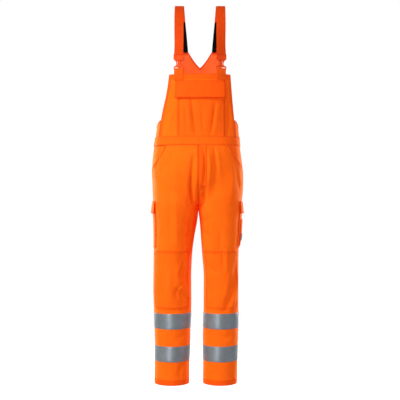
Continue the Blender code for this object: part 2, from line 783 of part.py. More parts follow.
def make_waistband(garment):
    """The waistband: a plain front and an elastic back with gathered ribs."""
    rows = spaced(WAIST_TOP_Z, WAIST_LOW_Z, 2) + [WAIST_LOW_Z]
    middle_z = 0.5 * (WAIST_TOP_Z + WAIST_LOW_Z)
    right, left = [body_turn(middle_z, x) for x in at_height("bib_edges", middle_z)]
    columns = spaced(right, left, 16) + [left]
    front = Surface(body_point, rows, columns, 1.0)
    outer = front.patch(rows, columns, BAND_PROUD)
    inner = front.patch(rows, columns, BAND_PROUD - BAND_THICK)
    garment.add_wall("waistband_front", outer, inner, "orange_cloth")

    start, end = left + 2.0 * SEAM_TURN, 4.0 + right - 2.0 * SEAM_TURN
    columns = spaced(start, end, ELASTIC_RIBS) + [end]
    back = Surface(body_point, rows, columns, 1.0)
    rib = {turn: RIB_DEPTH * (i % 2) for i, turn in enumerate(columns)}
    outer = back.patch(rows, columns, lambda z, turn: BAND_PROUD - rib[turn])
    inner = back.patch(rows, columns, BAND_PROUD - BAND_THICK)
    garment.add_wall("waistband_back", outer, inner, "orange_cloth")


def leg_normal(side):
    """Finds a leg's outward normal, one-sided where the rise seam bounds the panel."""

    def find(z, s):
        bounds = (0.0, 2.0) if z > CROTCH_Z - 0.0001 else (None, None)
        return normal_at(lambda h, t: trouser_point(side, h, t), z, s, *bounds) * SIDES[side]

    return find


def opening_turn(side, z):
    """Where the front panel ends at height z: at the side seam, or at the pocket opening."""
    if z <= OPENING_LOW_Z:
        return 1.0
    return 1.0 - at_height("opening", z)[0] / half_length(side, z)


def make_leg(garment, side):
    """A leg's front and back panels, and the surface that the rest is sewn on."""
    rows = leg_rows()
    find = leg_normal(side)
    turns = FRONT_TURNS + BACK_TURNS
    leg = Surface(leg_point(side), rows, turns, 1.0, find)

    back_turns = [1.0 + SEAM_TURN, *BACK_TURNS[1:-1], 2.0 - SEAM_TURN]
    back = Surface(leg_point(side), rows, back_turns, 1.0, find)
    garment.add_wall(f"leg_back_{side}", *back.wall(CLOTH), "orange_cloth")

    def cut(z, u):
        if u <= FLY_COLUMNS_TURN:
            return u
        part = (u - FLY_COLUMNS_TURN) / (1.0 - FLY_COLUMNS_TURN)
        return FLY_COLUMNS_TURN + part * (opening_turn(side, z) - FLY_COLUMNS_TURN)

    front_turns = [SEAM_TURN, *FRONT_TURNS[1:], 1.0 - SEAM_TURN]
    front = Surface(
        lambda z, u: trouser_point(side, z, cut(z, u)),
        rows,
        front_turns,
        1.0,
        lambda z, u: find(z, cut(z, u)),
    )
    garment.add_wall(f"leg_front_{side}", *front.wall(CLOTH), "orange_cloth")
    return leg, front


def leg_point(side):
    """A leg's point function with its side fixed."""
    return lambda z, s: trouser_point(side, z, s)


def make_facing(garment, side):
    """The cloth that shows in the front pocket's opening, under the front panel."""
    rows = spaced(WAIST_LOW_Z - SEAM_GAP, FACING_LOW_Z, 6) + [FACING_LOW_Z]
    columns = [0.0, 0.15, FACING_COVERED, 0.475, 0.65, 0.825, 1.0]
    drop = CLOTH + FACING_DROP

    def turn(z, f):
        opening = at_height("opening", z)[0]
        if f <= FACING_COVERED:
            reach = opening + FACING_UNDER * (1.0 - f / FACING_COVERED)
        else:
            reach = opening * (1.0 - f) / (1.0 - FACING_COVERED)
        return 1.0 - 2.0 * SEAM_TURN - reach / half_length(side, z)

    def depth(z, f):
        wide = smooth_step(0.0, FACING_WIDE, at_height("opening", z)[0])
        return -drop * (1.0 - wide * smooth_step(FACING_COVERED + 0.2, 1.0, f))

    find = leg_normal(side)
    facing = Surface(
        lambda z, f: trouser_point(side, z, turn(z, f)),
        rows,
        columns,
        1.0,
        lambda z, f: find(z, turn(z, f)),
    )
    outer = facing.patch(rows, columns, depth)
    inner = facing.patch(rows, columns, lambda z, f: depth(z, f) - CLOTH)
    garment.add_wall(f"pocket_facing_{side}", outer, inner, "orange_cloth")


def make_fly(garment, front):
    """The fly's placket, on the left front beside the middle seam."""
    rows = between(front.rows, front.rows[0], FLY_LOW_Z)
    columns = between(front.columns, SEAM_TURN, FLY_TURN)
    outer, inner = front.patch(rows, columns, LAY_GAP + CLOTH), front.patch(rows, columns, LAY_GAP)
    garment.add_wall("fly", outer, inner, "orange_cloth")


def bulge(z, s, top, low, front, back, height):
    """A pocket's fullness: none along its sewn edges and its full height inside."""
    down = min(max((z - top) / (low - top), 0.0), 1.0)
    across = min(max((s - front) / (back - front), 0.0), 1.0)
    return height * (math.sin(math.pi * down) * math.sin(math.pi * across)) ** 0.5


def make_thigh_pocket(garment, side, leg):
    """A bellows pocket over the side seam, with its flap, and the left one's tool pocket."""

    def under(z, s):
        fullness = bulge(z, s, THIGH_TOP_Z, THIGH_LOW_Z, THIGH_FRONT, THIGH_BACK, THIGH_BULGE)
        return LAY_GAP + fullness

    def over(z, s):
        return under(z, s) + CLOTH

    rows = between(leg.rows, THIGH_TOP_Z, THIGH_LOW_Z)
    columns = between(leg.columns, THIGH_FRONT, THIGH_BACK)
    outer, inner = leg.patch(rows, columns, over), leg.patch(rows, columns, under)
    garment.add_wall(f"thigh_pocket_{side}", outer, inner, "orange_cloth")

    def flap_under(z, s):
        sewn = smooth_step(0.0, 1.0, (THIGH_FLAP_TOP_Z - z) / FLAP_SEAM)
        down = (THIGH_FLAP_TOP_Z - z) / (THIGH_FLAP_TOP_Z - THIGH_FLAP_LOW_Z)
        return FLAP_LAY + (over(z, s) + THIGH_FLAP_LIFT * down) * sewn

    def flap_over(z, s):
        return flap_under(z, s) + DOUBLE_CLOTH

    seam_z = THIGH_FLAP_TOP_Z - FLAP_SEAM
    rows = sorted({*between(leg.rows, THIGH_FLAP_TOP_Z, THIGH_FLAP_LOW_Z), seam_z}, reverse=True)
    columns = between(leg.columns, THIGH_FRONT - FLAP_OVER, THIGH_BACK + FLAP_OVER)
    outer, inner = leg.patch(rows, columns, flap_over), leg.patch(rows, columns, flap_under)
    garment.add_wall(f"thigh_flap_{side}", outer, inner, "orange_cloth")
    return over


def make_tool_pocket(garment, leg, thigh_face):
    """The narrow tool pocket on the left thigh pocket, with its plain grey tab."""

    def under(z, s):
        fullness = bulge(z, s, TOOL_TOP_Z, TOOL_LOW_Z, TOOL_FRONT, TOOL_BACK, TOOL_BULGE)
        return thigh_face(z, s) + LAY_GAP + fullness

    def over(z, s):
        return under(z, s) + CLOTH

    rows = between(leg.rows, TOOL_TOP_Z, TOOL_LOW_Z)
    columns = between(leg.columns, TOOL_FRONT, TOOL_BACK)
    outer, inner = leg.patch(rows, columns, over), leg.patch(rows, columns, under)
    garment.add_wall("tool_pocket", outer, inner, "orange_cloth")

    rows = between(leg.rows, TAB_TOP_Z, TAB_LOW_Z)
    columns = between(leg.columns, TAB_FRONT, TAB_BACK)
    outer = leg.patch(rows, columns, lambda z, s: over(z, s) + LAY_GAP + CLOTH)
    inner = leg.patch(rows, columns, lambda z, s: over(z, s) + LAY_GAP)
    garment.add_wall("tool_tab", outer, inner, "grey_tab")


def make_knee_pocket(garment, side, leg):
    """The knee pad's pocket, a patch over the front of the knee and shin."""

    def under(z, s):
        fullness = bulge(z, s, KNEE_TOP_Z, KNEE_LOW_Z, KNEE_INNER, KNEE_OUTER, KNEE_BULGE)
        return LAY_GAP + fullness

    rows = between(leg.rows, KNEE_TOP_Z, KNEE_LOW_Z)
    columns = between(leg.columns, KNEE_INNER, KNEE_OUTER)
    outer = leg.patch(rows, columns, lambda z, s: under(z, s) + CLOTH)
    inner = leg.patch(rows, columns, under)
    garment.add_wall(f"knee_pocket_{side}", outer, inner, "orange_cloth")


def make_tapes(garment, side, leg):
    """The two reflective tapes round a leg."""
    columns = leg.columns[:-1]
    for place, top in TAPE_TOPS.items():
        rows = between(leg.rows, top, top - TAPE_WIDTH)
        outer = leg.patch(rows, columns, LAY_GAP + TAPE_THICK)
        inner = leg.patch(rows, columns, LAY_GAP)
        garment.add_wall(f"tape_{place}_{side}", outer, inner, "grey_tape", around=True)


def through(points, spans):
    """Points on a smooth curve through the given points, a number of spans to each gap."""
    curve = []
    for i in range(len(points) - 1):
        before = points[max(i - 1, 0)]
        start, end = points[i], points[i + 1]
        after = points[min(i + 2, len(points) - 1)]
        for k in range(spans):
            t = k / spans
            leave, arrive = 0.5 * (end - before), 0.5 * (after - start)
            t2, t3 = t * t, t * t * t
            curve.append(
                start * (2 * t3 - 3 * t2 + 1)
                + leave * (t3 - 2 * t2 + t)
                + end * (3 * t2 - 2 * t3)
                + arrive * (t3 - t2)
            )
    return curve + [points[-1]]


def path_points(rows, side):
    """A strap's centre line on one side of the garment, from its table."""
    out = SIDES[side]
    return [Vector((out * (STRAP_X - row.lean), row.y, row.z)) for row in rows]


def strap_loop(seat):
    """The strap's turned-back end and its loop round the buckle's upper bar."""
    bar = seat.centre + Vector((0.0, 0.0, BUCKLE_TOP_Z - 0.5 * BAR_HEIGHT - seat.centre.z))
    behind = [(STRAP_TURNS_BACK, -0.6), (0.4 * STRAP_TURNS_BACK, -0.9)]
    points = [bar + Vector((0.0, 0.0, up)) + seat.forward * LOOP_RADIUS * out for up, out in behind]
    for i in range(7):
        angle = math.pi * i / 6
        offset = seat.forward * -math.cos(angle) - Vector((0.0, 0.0, math.sin(angle)))
        points.append(bar + offset * LOOP_RADIUS)
    return points, points[-1] + Vector((0.0, 0.0, LOOP_FREE))


def make_strap(garment, side, seat):
    """A shoulder strap, looped round the buckle's upper bar, and its elastic at the back."""
    out = SIDES[side]
    loop, above = strap_loop(seat)
    body = through([above, *path_points(STRAP_PATH, side)], 3)
    turns = [seat.turn] * len(loop)
    turns += [seat.turn * smooth_step(STRAP_FLAT_Z, STRAP_TURNED_Z, point.z) for point in body[:8]]
    turns += [0.0] * (len(body) - 8)
    across = [Vector((math.cos(t), math.sin(t) * out, 0.0)) for t in turns]
    garment.add_band(f"strap_{side}", loop + body, across, STRAP_WIDTH, WEBBING, "orange_webbing")

    body = through(path_points(ELASTIC_PATH, side), 3)
    first_z, last_z = body[0].z, body[-1].z
    body[0] = body[0] + (body[1] - body[0]).normalized() * SEAM_GAP
    steps = [smooth_step(first_z, last_z, point.z) * BACK_TURN for point in body]
    across = [Vector((math.cos(t), -math.sin(t) * out, 0.0)) for t in steps]
    garment.add_band(f"elastic_{side}", body, across, STRAP_WIDTH, ELASTIC, "black_elastic")


def buckle_seat(bib, side):
    """Where a buckle stands: its middle plane over the bib's top edge, facing forward."""
    u = bib_share(SIDES[side] * STRAP_X)
    centre = bib.at(BIB_TOP_Z, u, -0.5 * CLOTH)
    left = bib.at(BIB_TOP_Z, u - 0.06)
    right = bib.at(BIB_TOP_Z, u + 0.06)
    across = (right - left).normalized()
    forward = Vector((across.y, -across.x, 0.0))
    return Seat(centre, forward, across, abs(math.atan2(across.y, across.x)))


def make_bib_tab(garment, side, bib, seat):
    """The webbing on the bib that loops round the buckle's lower bar."""
    x = SIDES[side] * STRAP_X
    half_width = 0.5 * STRAP_WIDTH * seat.across.x
    first, last = sorted((bib_share(x - half_width), bib_share(x + half_width)))
    columns = between(bib.columns, first, last)
    lay = 0.5 * CLOTH + LAY_GAP + 0.5 * WEBBING
    bar_height = BUCKLE_TOP_Z - BUCKLE_LENGTH + 0.5 * BAR_HEIGHT - BIB_TOP_Z
    profile = [(-TAB_SEWN, lay), (-0.5 * TAB_SEWN, lay), (0.0, lay)]
    for i in range(9):
        angle = math.pi * i / 8
        profile.append((bar_height + LOOP_RADIUS * math.sin(angle), LOOP_RADIUS * math.cos(angle)))
    profile += [(0.0, -lay), (-0.5 * TAB_SEWN, -lay), (-TAB_SEWN, -lay)]

    def place(height, depth, u):
        lift = Vector((0.0, 0.0, max(height, 0.0)))
        curved = bib.at(BIB_TOP_Z + min(height, 0.0), u, depth - 0.5 * CLOTH) + lift
        offset = (bib.at(BIB_TOP_Z, u, -0.5 * CLOTH) - seat.centre).dot(seat.across)
        flat = seat.centre + seat.across * offset + seat.forward * depth + lift
        return curved.lerp(flat, smooth_step(0.0, 0.6 * bar_height, height))

    outer, inner = [], []
    for i, (height, depth) in enumerate(profile):
        before, after = profile[max(i - 1, 0)], profile[min(i + 1, len(profile) - 1)]
        rise, run = after[0] - before[0], after[1] - before[1]
        size = math.hypot(rise, run)
        step_h, step_d = -run / size * 0.5 * WEBBING, rise / size * 0.5 * WEBBING
        outer.append([place(height + step_h, depth + step_d, u) for u in columns])
        inner.append([place(height - step_h, depth - step_d, u) for u in columns])
    garment.add_wall(f"bib_tab_{side}", outer, inner, "orange_webbing")


def make_socket(garment, side, top, turn):
    """The buckle's upper half: a frame for the strap and a socket with open sides."""
    half = 0.5 * BUCKLE_WIDTH
    socket = [
        (-SOCKET_MOUTH_HALF, -SOCKET_HEIGHT),
        (SOCKET_MOUTH_HALF, -SOCKET_HEIGHT),
        (half, -SOCKET_HEIGHT + SOCKET_TAPER),
        (half, -FRAME_HEIGHT + FRAME_LAP),
        (-half, -FRAME_HEIGHT + FRAME_LAP),
        (-half, -SOCKET_HEIGHT + SOCKET_TAPER),
    ]
    frame = [
        (-half, -FRAME_HEIGHT - FRAME_LAP),
        (half, -FRAME_HEIGHT - FRAME_LAP),
        (half, 0.0),
        (-half, 0.0),
    ]
    name = f"buckle_socket_{side}"
    upper = garment.add_plate(name, socket, SOCKET_THICK, top, turn, THICK_EDGE)
    bar = garment.add_plate(f"socket_frame_{side}", frame, FRAME_THICK, top, turn, THIN_EDGE)
    garment.move_to_cutters(bar)

    size = (SLOT_WIDTH, SLOT_HEIGHT, CUT_DEEP)
    centre = (0.0, -BAR_HEIGHT - 0.5 * SLOT_HEIGHT)
    slot = garment.add_cutter(f"socket_slot_{side}", size, centre, top, turn)
    garment.combine(bar, slot, "DIFFERENCE")
    garment.combine(upper, bar, "UNION")

    thick = STEM_THICK + 2.0 * PLAY
    middle = -SOCKET_HEIGHT + 0.5 * PRONG_DEPTH
    size = (2.0 * PRONG_HALF + 2.4 * PLAY, PRONG_DEPTH + 2.0 * PLAY, thick)
    hollow = garment.add_cutter(f"socket_hollow_{side}", size, (0.0, middle - PLAY), top, turn)
    size = (BUCKLE_WIDTH + 8.0 * PLAY, 0.5 * PRONG_DEPTH, thick)
    window = garment.add_cutter(f"socket_window_{side}", size, (0.0, middle + 2.0 * PLAY), top, turn)
    for cutter in (hollow, window):
        garment.combine(upper, cutter, "DIFFERENCE")


def make_prongs(garment, side, top, turn):
    """The buckle's lower half: a frame for the bib's tab, a stem and three prongs."""
    bottom = -BUCKLE_LENGTH
    shoulder = bottom + FRAME_HEIGHT + 2.0 * PLAY
    joint = -SOCKET_HEIGHT
    right_edge = [
        (0.5 * BUCKLE_WIDTH, bottom),
        (0.5 * BUCKLE_WIDTH, shoulder),
        (STEM_LOW_HALF, shoulder + 0.004),
        (STEM_TOP_HALF, joint - 0.011),
        (PRONG_HALF - 0.0006, joint - 0.0025),
        (PRONG_HALF - 0.0002, joint + 0.004),
        (PRONG_HALF - PRONG_TIP_IN, joint + PRONG_DEPTH - 3.0 * PLAY),
    ]
    outline = right_edge + [(-x, y) for x, y in reversed(right_edge)]
    name = f"buckle_prongs_{side}"
    lower = garment.add_plate(name, outline, STEM_THICK, top, turn, THIN_EDGE)
    size = (SLOT_WIDTH, SLOT_HEIGHT, CUT_DEEP)
    centre = (0.0, bottom + BAR_HEIGHT + 0.5 * SLOT_HEIGHT)
    slot = garment.add_cutter(f"prong_slot_{side}", size, centre, top, turn)
    garment.combine(lower, slot, "DIFFERENCE")
    size = (SPLIT_WIDTH, 2.0 * PRONG_DEPTH + 0.004, CUT_DEEP)
    for place, offset in (("inner", -SPLIT_X), ("outer", SPLIT_X)):
        name = f"prong_split_{side}_{place}"
        split = garment.add_cutter(name, size, (offset, joint), top, turn)
        garment.combine(lower, split, "DIFFERENCE")


def make_buckle(garment, side, seat):
    """A side-release buckle: the socket on the strap and the pronged half on the bib."""
    top = seat.centre + Vector((0.0, 0.0, BUCKLE_TOP_Z - seat.centre.z))
    turn = seat.turn * SIDES[side]
    make_socket(garment, side, top, turn)
    make_prongs(garment, side, top, turn)


def build():
    """Builds every piece of the overalls."""
    garment = Garment()
    bib = make_bib(garment)
    make_back(garment)
    make_waistband(garment)
    for side in SIDES:
        leg, front = make_leg(garment, side)
        make_facing(garment, side)
        thigh_face = make_thigh_pocket(garment, side, leg)
        make_knee_pocket(garment, side, leg)
        make_tapes(garment, side, leg)
        if side == "left":
            make_fly(garment, front)
            make_tool_pocket(garment, leg, thigh_face)
        seat = buckle_seat(bib, side)
        make_strap(garment, side, seat)
        make_bib_tab(garment, side, bib, seat)
        make_buckle(garment, side, seat)


build()
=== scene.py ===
"""Looks of the high-visibility bib overalls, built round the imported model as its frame.

Metres, +Z up, the garment's front towards -Y and the wearer's left towards +X, as in the solids.
Each cut of cloth is a thin shell on the form of its solid: the same rings and large folds, read
finely, with the smaller creases, turned edges and seams that the eye sees. A point of the body
has a height and a turn, 0 at centre front, 1 at the left side, 2 at centre back and -1 or 3 at
the right side. A point of a leg has a height and a turn from the inseam, 1 being the side seam.
"""

from __future__ import annotations

import logging
import math
from dataclasses import dataclass, field
from enum import Enum
from typing import Callable, Sequence

import bmesh
import bpy
import numpy as np
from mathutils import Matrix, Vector

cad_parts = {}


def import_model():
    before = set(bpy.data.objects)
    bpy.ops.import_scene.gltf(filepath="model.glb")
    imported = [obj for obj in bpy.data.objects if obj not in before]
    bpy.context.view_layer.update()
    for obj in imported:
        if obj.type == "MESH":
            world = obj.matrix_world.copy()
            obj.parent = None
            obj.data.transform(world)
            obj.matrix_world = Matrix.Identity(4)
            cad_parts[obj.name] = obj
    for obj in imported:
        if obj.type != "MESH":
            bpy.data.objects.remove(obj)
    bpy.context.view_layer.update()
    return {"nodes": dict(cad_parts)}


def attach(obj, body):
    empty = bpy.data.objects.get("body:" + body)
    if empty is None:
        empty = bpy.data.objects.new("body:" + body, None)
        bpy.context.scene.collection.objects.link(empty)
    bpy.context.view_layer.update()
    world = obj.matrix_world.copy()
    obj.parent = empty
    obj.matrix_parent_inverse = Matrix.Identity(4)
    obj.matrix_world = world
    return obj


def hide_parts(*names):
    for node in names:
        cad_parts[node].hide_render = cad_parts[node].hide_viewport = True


log = logging.getLogger("bib_overalls")
Array = np.ndarray
Material, Tree, Thing = bpy.types.Material, bpy.types.NodeTree, bpy.types.Object
Reach = Callable[[Array, Array], Array]
Pair = tuple[Array, Array]
Place = Callable[[Array, Array], Pair]
Region = tuple[float, float, float, float]
Source = bpy.types.Node | bpy.types.NodeSocket
Reliefs = Sequence[tuple[Source, float, float]]

# Cloth and gaps, as in the solids
CLOTH = 0.0016
DOUBLE_CLOTH = 0.0026
TAPE_THICK = 0.0012
WEBBING = 0.002
ELASTIC = 0.0018
SEAM_GAP = 0.0003
LAY_GAP = 0.0006
SEAM_TURN = 0.0006

# Heights under the shoulders
BACK_TOP_Z = -0.187
V_NECK_Z = -0.254
BIB_TOP_Z = -0.3125
WAIST_TOP_Z = -0.579
WAIST_LOW_Z = -0.6165
RISE_Z = -0.7
CROTCH_Z = -0.876
KNEE_TOP_Z = -1.071
KNEE_LOW_Z = -1.322
HEM_Z = -1.6535

SIDES = {"right": -1, "left": 1}

# The body: height, right edge, middle, left edge, front, back, squareness.
BODY_ROWS = (
    (-0.18, -0.152, 0.0, 0.152, -0.108, 0.1, 2.2), (-0.31, -0.166, 0.0, 0.164, -0.12, 0.112, 2.3),
    (-0.42, -0.177, -0.002, 0.166, -0.124, 0.118, 2.3),
    (-0.52, -0.188, -0.005, 0.167, -0.124, 0.116, 2.3),
    (-0.578, -0.195, -0.006, 0.172, -0.124, 0.115, 2.3),
    (-0.617, -0.201, -0.007, 0.175, -0.127, 0.12, 2.3),
    (-0.66, -0.207, -0.007, 0.181, -0.131, 0.132, 2.3),
    (-0.72, -0.211, -0.007, 0.188, -0.134, 0.146, 2.2), (-0.79, -0.208, -0.007, 0.189, -0.134, 0.15, 2.2),
    (-0.876, -0.206, -0.007, 0.184, -0.124, 0.14, 2.1),
)
# The legs: height, outer edge, inner edge, front, back, squareness.
LEG_ROWS = {
    "right": (
        (-0.69, -0.209, -0.007, -0.124, 0.138, 2.1), (-0.79, -0.208, -0.007, -0.12, 0.132, 2.1),
        (-0.876, -0.204, -0.0072, -0.114, 0.116, 2.1), (-0.904, -0.203, -0.009, -0.112, 0.112, 2.1),
        (-0.945, -0.2, -0.014, -0.108, 0.106, 2.1), (-1.01, -0.199, -0.026, -0.102, 0.098, 2.1),
        (-1.08, -0.202, -0.0352, -0.094, 0.09, 2.1), (-1.168, -0.203, -0.0396, -0.088, 0.086, 2.1),
        (-1.25, -0.204, -0.0396, -0.082, 0.088, 2.1), (-1.33, -0.2015, -0.04, -0.077, 0.09, 2.1),
        (-1.415, -0.1985, -0.044, -0.074, 0.086, 2.0), (-1.485, -0.1965, -0.045, -0.073, 0.082, 2.0),
        (-1.56, -0.1975, -0.048, -0.073, 0.08, 2.0), (-1.6535, -0.199, -0.0484, -0.074, 0.08, 2.0),
    ),
    "left": (
        (-0.69, 0.187, -0.007, -0.124, 0.138, 2.1), (-0.79, 0.189, -0.007, -0.12, 0.132, 2.1),
        (-0.876, 0.181, -0.0068, -0.114, 0.116, 2.1), (-0.904, 0.18, -0.005, -0.112, 0.112, 2.1),
        (-0.945, 0.177, 0.0, -0.108, 0.106, 2.1), (-1.01, 0.173, 0.005, -0.102, 0.098, 2.1),
        (-1.08, 0.168, 0.01, -0.094, 0.09, 2.1), (-1.168, 0.1672, 0.0172, -0.086, 0.084, 2.1),
        (-1.25, 0.1672, 0.0176, -0.08, 0.084, 2.1), (-1.33, 0.1672, 0.0172, -0.075, 0.084, 2.1),
        (-1.415, 0.1665, 0.015, -0.072, 0.082, 2.0), (-1.485, 0.165, 0.014, -0.071, 0.08, 2.0),
        (-1.56, 0.163, 0.015, -0.071, 0.078, 2.0), (-1.6535, 0.1615, 0.014, -0.072, 0.078, 2.0),
    ),
}
# The bib's side edges: height, right edge, left edge.
BIB_EDGE_ROWS = (
    (-0.31, -0.1315, 0.13), (-0.355, -0.1375, 0.1335), (-0.405, -0.146, 0.1375), (-0.455, -0.158, 0.142),
    (-0.515, -0.169, 0.148), (-0.58, -0.1735, 0.152),
)
# The back panel's side edges: height, share of the way from centre back to the side.
BACK_EDGE_ROWS = (
    (-0.18, 0.44), (-0.25, 0.46), (-0.33, 0.5), (-0.42, 0.58), (-0.48, 0.68), (-0.518, 0.82),
    (-0.542, 1.0),
)
# The front pocket's opening: height, distance from the side seam.
OPENING_LOW_Z = -0.7326
OPENING_ROWS = (
    (-0.6165, 0.112), (-0.65, 0.098), (-0.685, 0.07), (OPENING_LOW_Z, 0.0),
)
# The straps' and elastics' centre lines: height, depth, lean towards the middle.
STRAP_ROWS = (
    (-0.18, -0.1045, 0.0005), (-0.1, -0.085, 0.0), (-0.04, -0.056, 0.0), (-0.006, -0.02, 0.0),
    (-0.001, 0.008, 0.0005), (-0.018, 0.04, 0.002), (-0.056, 0.064, 0.005),
)
ELASTIC_ROWS = (
    (-0.056, 0.064, 0.005), (-0.1, 0.082, 0.0095), (-0.145, 0.091, 0.014), (-0.184, 0.0955, 0.018),
)
# The solids' largest folds: top and low height, x at the top, middle and low end, width, depth.
FRONT_FOLDS = (
    (-0.66, -1.13, -0.029, -0.044, -0.056, 0.013, 0.0085),
    (-0.76, -0.98, -0.016, -0.021, -0.026, 0.01, -0.003),
    (-0.622, -0.815, 0.013, 0.023, 0.01, 0.011, 0.006),
    (-0.622, -0.88, 0.03, 0.04, 0.028, 0.012, -0.0035), (-0.79, -0.96, 0.022, 0.016, 0.014, 0.011, 0.006),
    (-0.622, -0.79, 0.061, 0.065, 0.07, 0.011, 0.0045),
    (-1.08, -1.2, -0.08, -0.078, -0.072, 0.017, 0.006),
    (-1.235, -1.338, -0.084, -0.078, -0.07, 0.022, 0.006),
    (-1.11, -1.338, 0.156, 0.137, 0.107, 0.014, 0.0065), (-1.15, -1.3, 0.14, 0.122, 0.1, 0.014, -0.003),
    (-0.38, -0.578, -0.039, -0.028, -0.016, 0.014, 0.0035),
    (-0.43, -0.578, 0.064, 0.055, 0.044, 0.012, 0.0045),
    (-0.43, -0.578, 0.112, 0.116, 0.115, 0.012, 0.0045),
)
BACK_FOLDS = (
    (-0.3, -0.57, -0.05, -0.04, -0.055, 0.016, 0.004), (-0.34, -0.57, 0.045, 0.052, 0.04, 0.016, 0.004),
    (-0.8, -0.96, -0.06, -0.085, -0.11, 0.018, 0.006), (-0.81, -0.97, 0.045, 0.07, 0.098, 0.018, 0.006),
    (-0.9, -1.12, -0.15, -0.14, -0.135, 0.016, 0.005), (-0.9, -1.1, 0.125, 0.116, 0.11, 0.016, 0.005),
    (-1.04, -1.15, -0.11, -0.095, -0.085, 0.016, 0.006), (-1.05, -1.16, 0.07, 0.082, 0.095, 0.016, 0.006),
    (-1.17, -1.32, -0.135, -0.125, -0.12, 0.018, 0.0055),
    (-1.18, -1.33, 0.105, 0.098, 0.09, 0.018, 0.0055),
)

# The cloth's large folds are this many times as deep as the solids' plain ones.
DEEPER = 1.35
# Each crease is this many times as deep as its row says.
FIRMER = 1.25
# Metres of cloth to one turn, for the creases.
BODY_GIRTH = 0.26
LEG_GIRTH = 0.27
# Where no turned edge says otherwise, how dark the painted shade along an edge is.
PLAIN_SEAM_SHADE = 0.35
# A height under the whole garment.
UNDER_ALL = -9.0
# The bend between two faces that still shades as one surface.
SMOOTH_ANGLE = math.radians(42.0)


@dataclass(frozen=True)
class Crease:
    """A soft trough or ridge laid on cloth, along a bent line.

    The line runs from start over middle to end, each a turn and a height. A trough has a
    positive depth and a ridge a negative one. One flank may be steeper than the other.
    """

    start: tuple[float, float]
    middle: tuple[float, float]
    end: tuple[float, float]
    width: float
    depth: float
    lean: float = 0.0

    def line(self, girth: float, steps: int = 14) -> Array:
        """Gives the crease's line in the cloth's plane.

        Args:
            girth: Metres of cloth to one turn.
            steps: How many spans the line has.

        Returns:
            Points across and down, in metres.
        """
        t = np.linspace(0.0, 1.0, steps + 1)[:, None]
        ends = [np.array((turn * girth, z)) for turn, z in (self.start, self.middle, self.end)]
        bend = 2.0 * ends[1] - 0.5 * (ends[0] + ends[2])
        return (1 - t) ** 2 * ends[0] + 2 * t * (1 - t) * bend + t * t * ends[2]

    def push(self, across: Array, down: Array, girth: float) -> Array:
        """Gives how deep the crease pushes each point of the cloth in.

        Args:
            across: Metres across the cloth.
            down: Heights.
            girth: Metres of cloth to one turn.

        Returns:
            The depths in metres.
        """
        line = self.line(girth)
        best = np.full(across.shape, 1e9)
        signed = np.zeros(across.shape)
        along = np.zeros(across.shape)
        spans = len(line) - 1
        for i in range(spans):
            run, rise = line[i + 1] - line[i]
            length = math.hypot(run, rise) + 1e-9
            dx, dz = across - line[i, 0], down - line[i, 1]
            t = np.clip((dx * run + dz * rise) / length**2, 0.0, 1.0)
            distance = np.hypot(dx - t * run, dz - t * rise)
            nearer = distance < best
            best = np.where(nearer, distance, best)
            side = np.sign(dx * rise - dz * run)
            signed = np.where(nearer, side * distance, signed)
            along = np.where(nearer, (i + t) / spans, along)
        width = self.width * (1.0 + self.lean * np.tanh(signed / self.width))
        taper = np.sin(math.pi * np.clip(along, 0.02, 0.98)) ** 0.7
        return FIRMER * self.depth * taper * np.exp(-((best / width) ** 1.5))


def creases(*rows: tuple[int, ...]) -> tuple[Crease, ...]:
    """Reads creases from rows of whole numbers.

    Args:
        rows: The turn in thousandths and the height in millimetres of start, middle and end, then
            width and depth in tenths of a millimetre and, where the crease leans, lean in tenths.

    Returns:
        The creases.
    """
    made = []
    for *line, width, depth, lean in (row if len(row) == 9 else (*row, 0) for row in rows):
        ends = [(line[i] / 1000, line[i + 1] / 1000) for i in (0, 2, 4)]
        made.append(Crease(*ends, width / 10000, depth / 10000, lean / 10))
    return tuple(made)


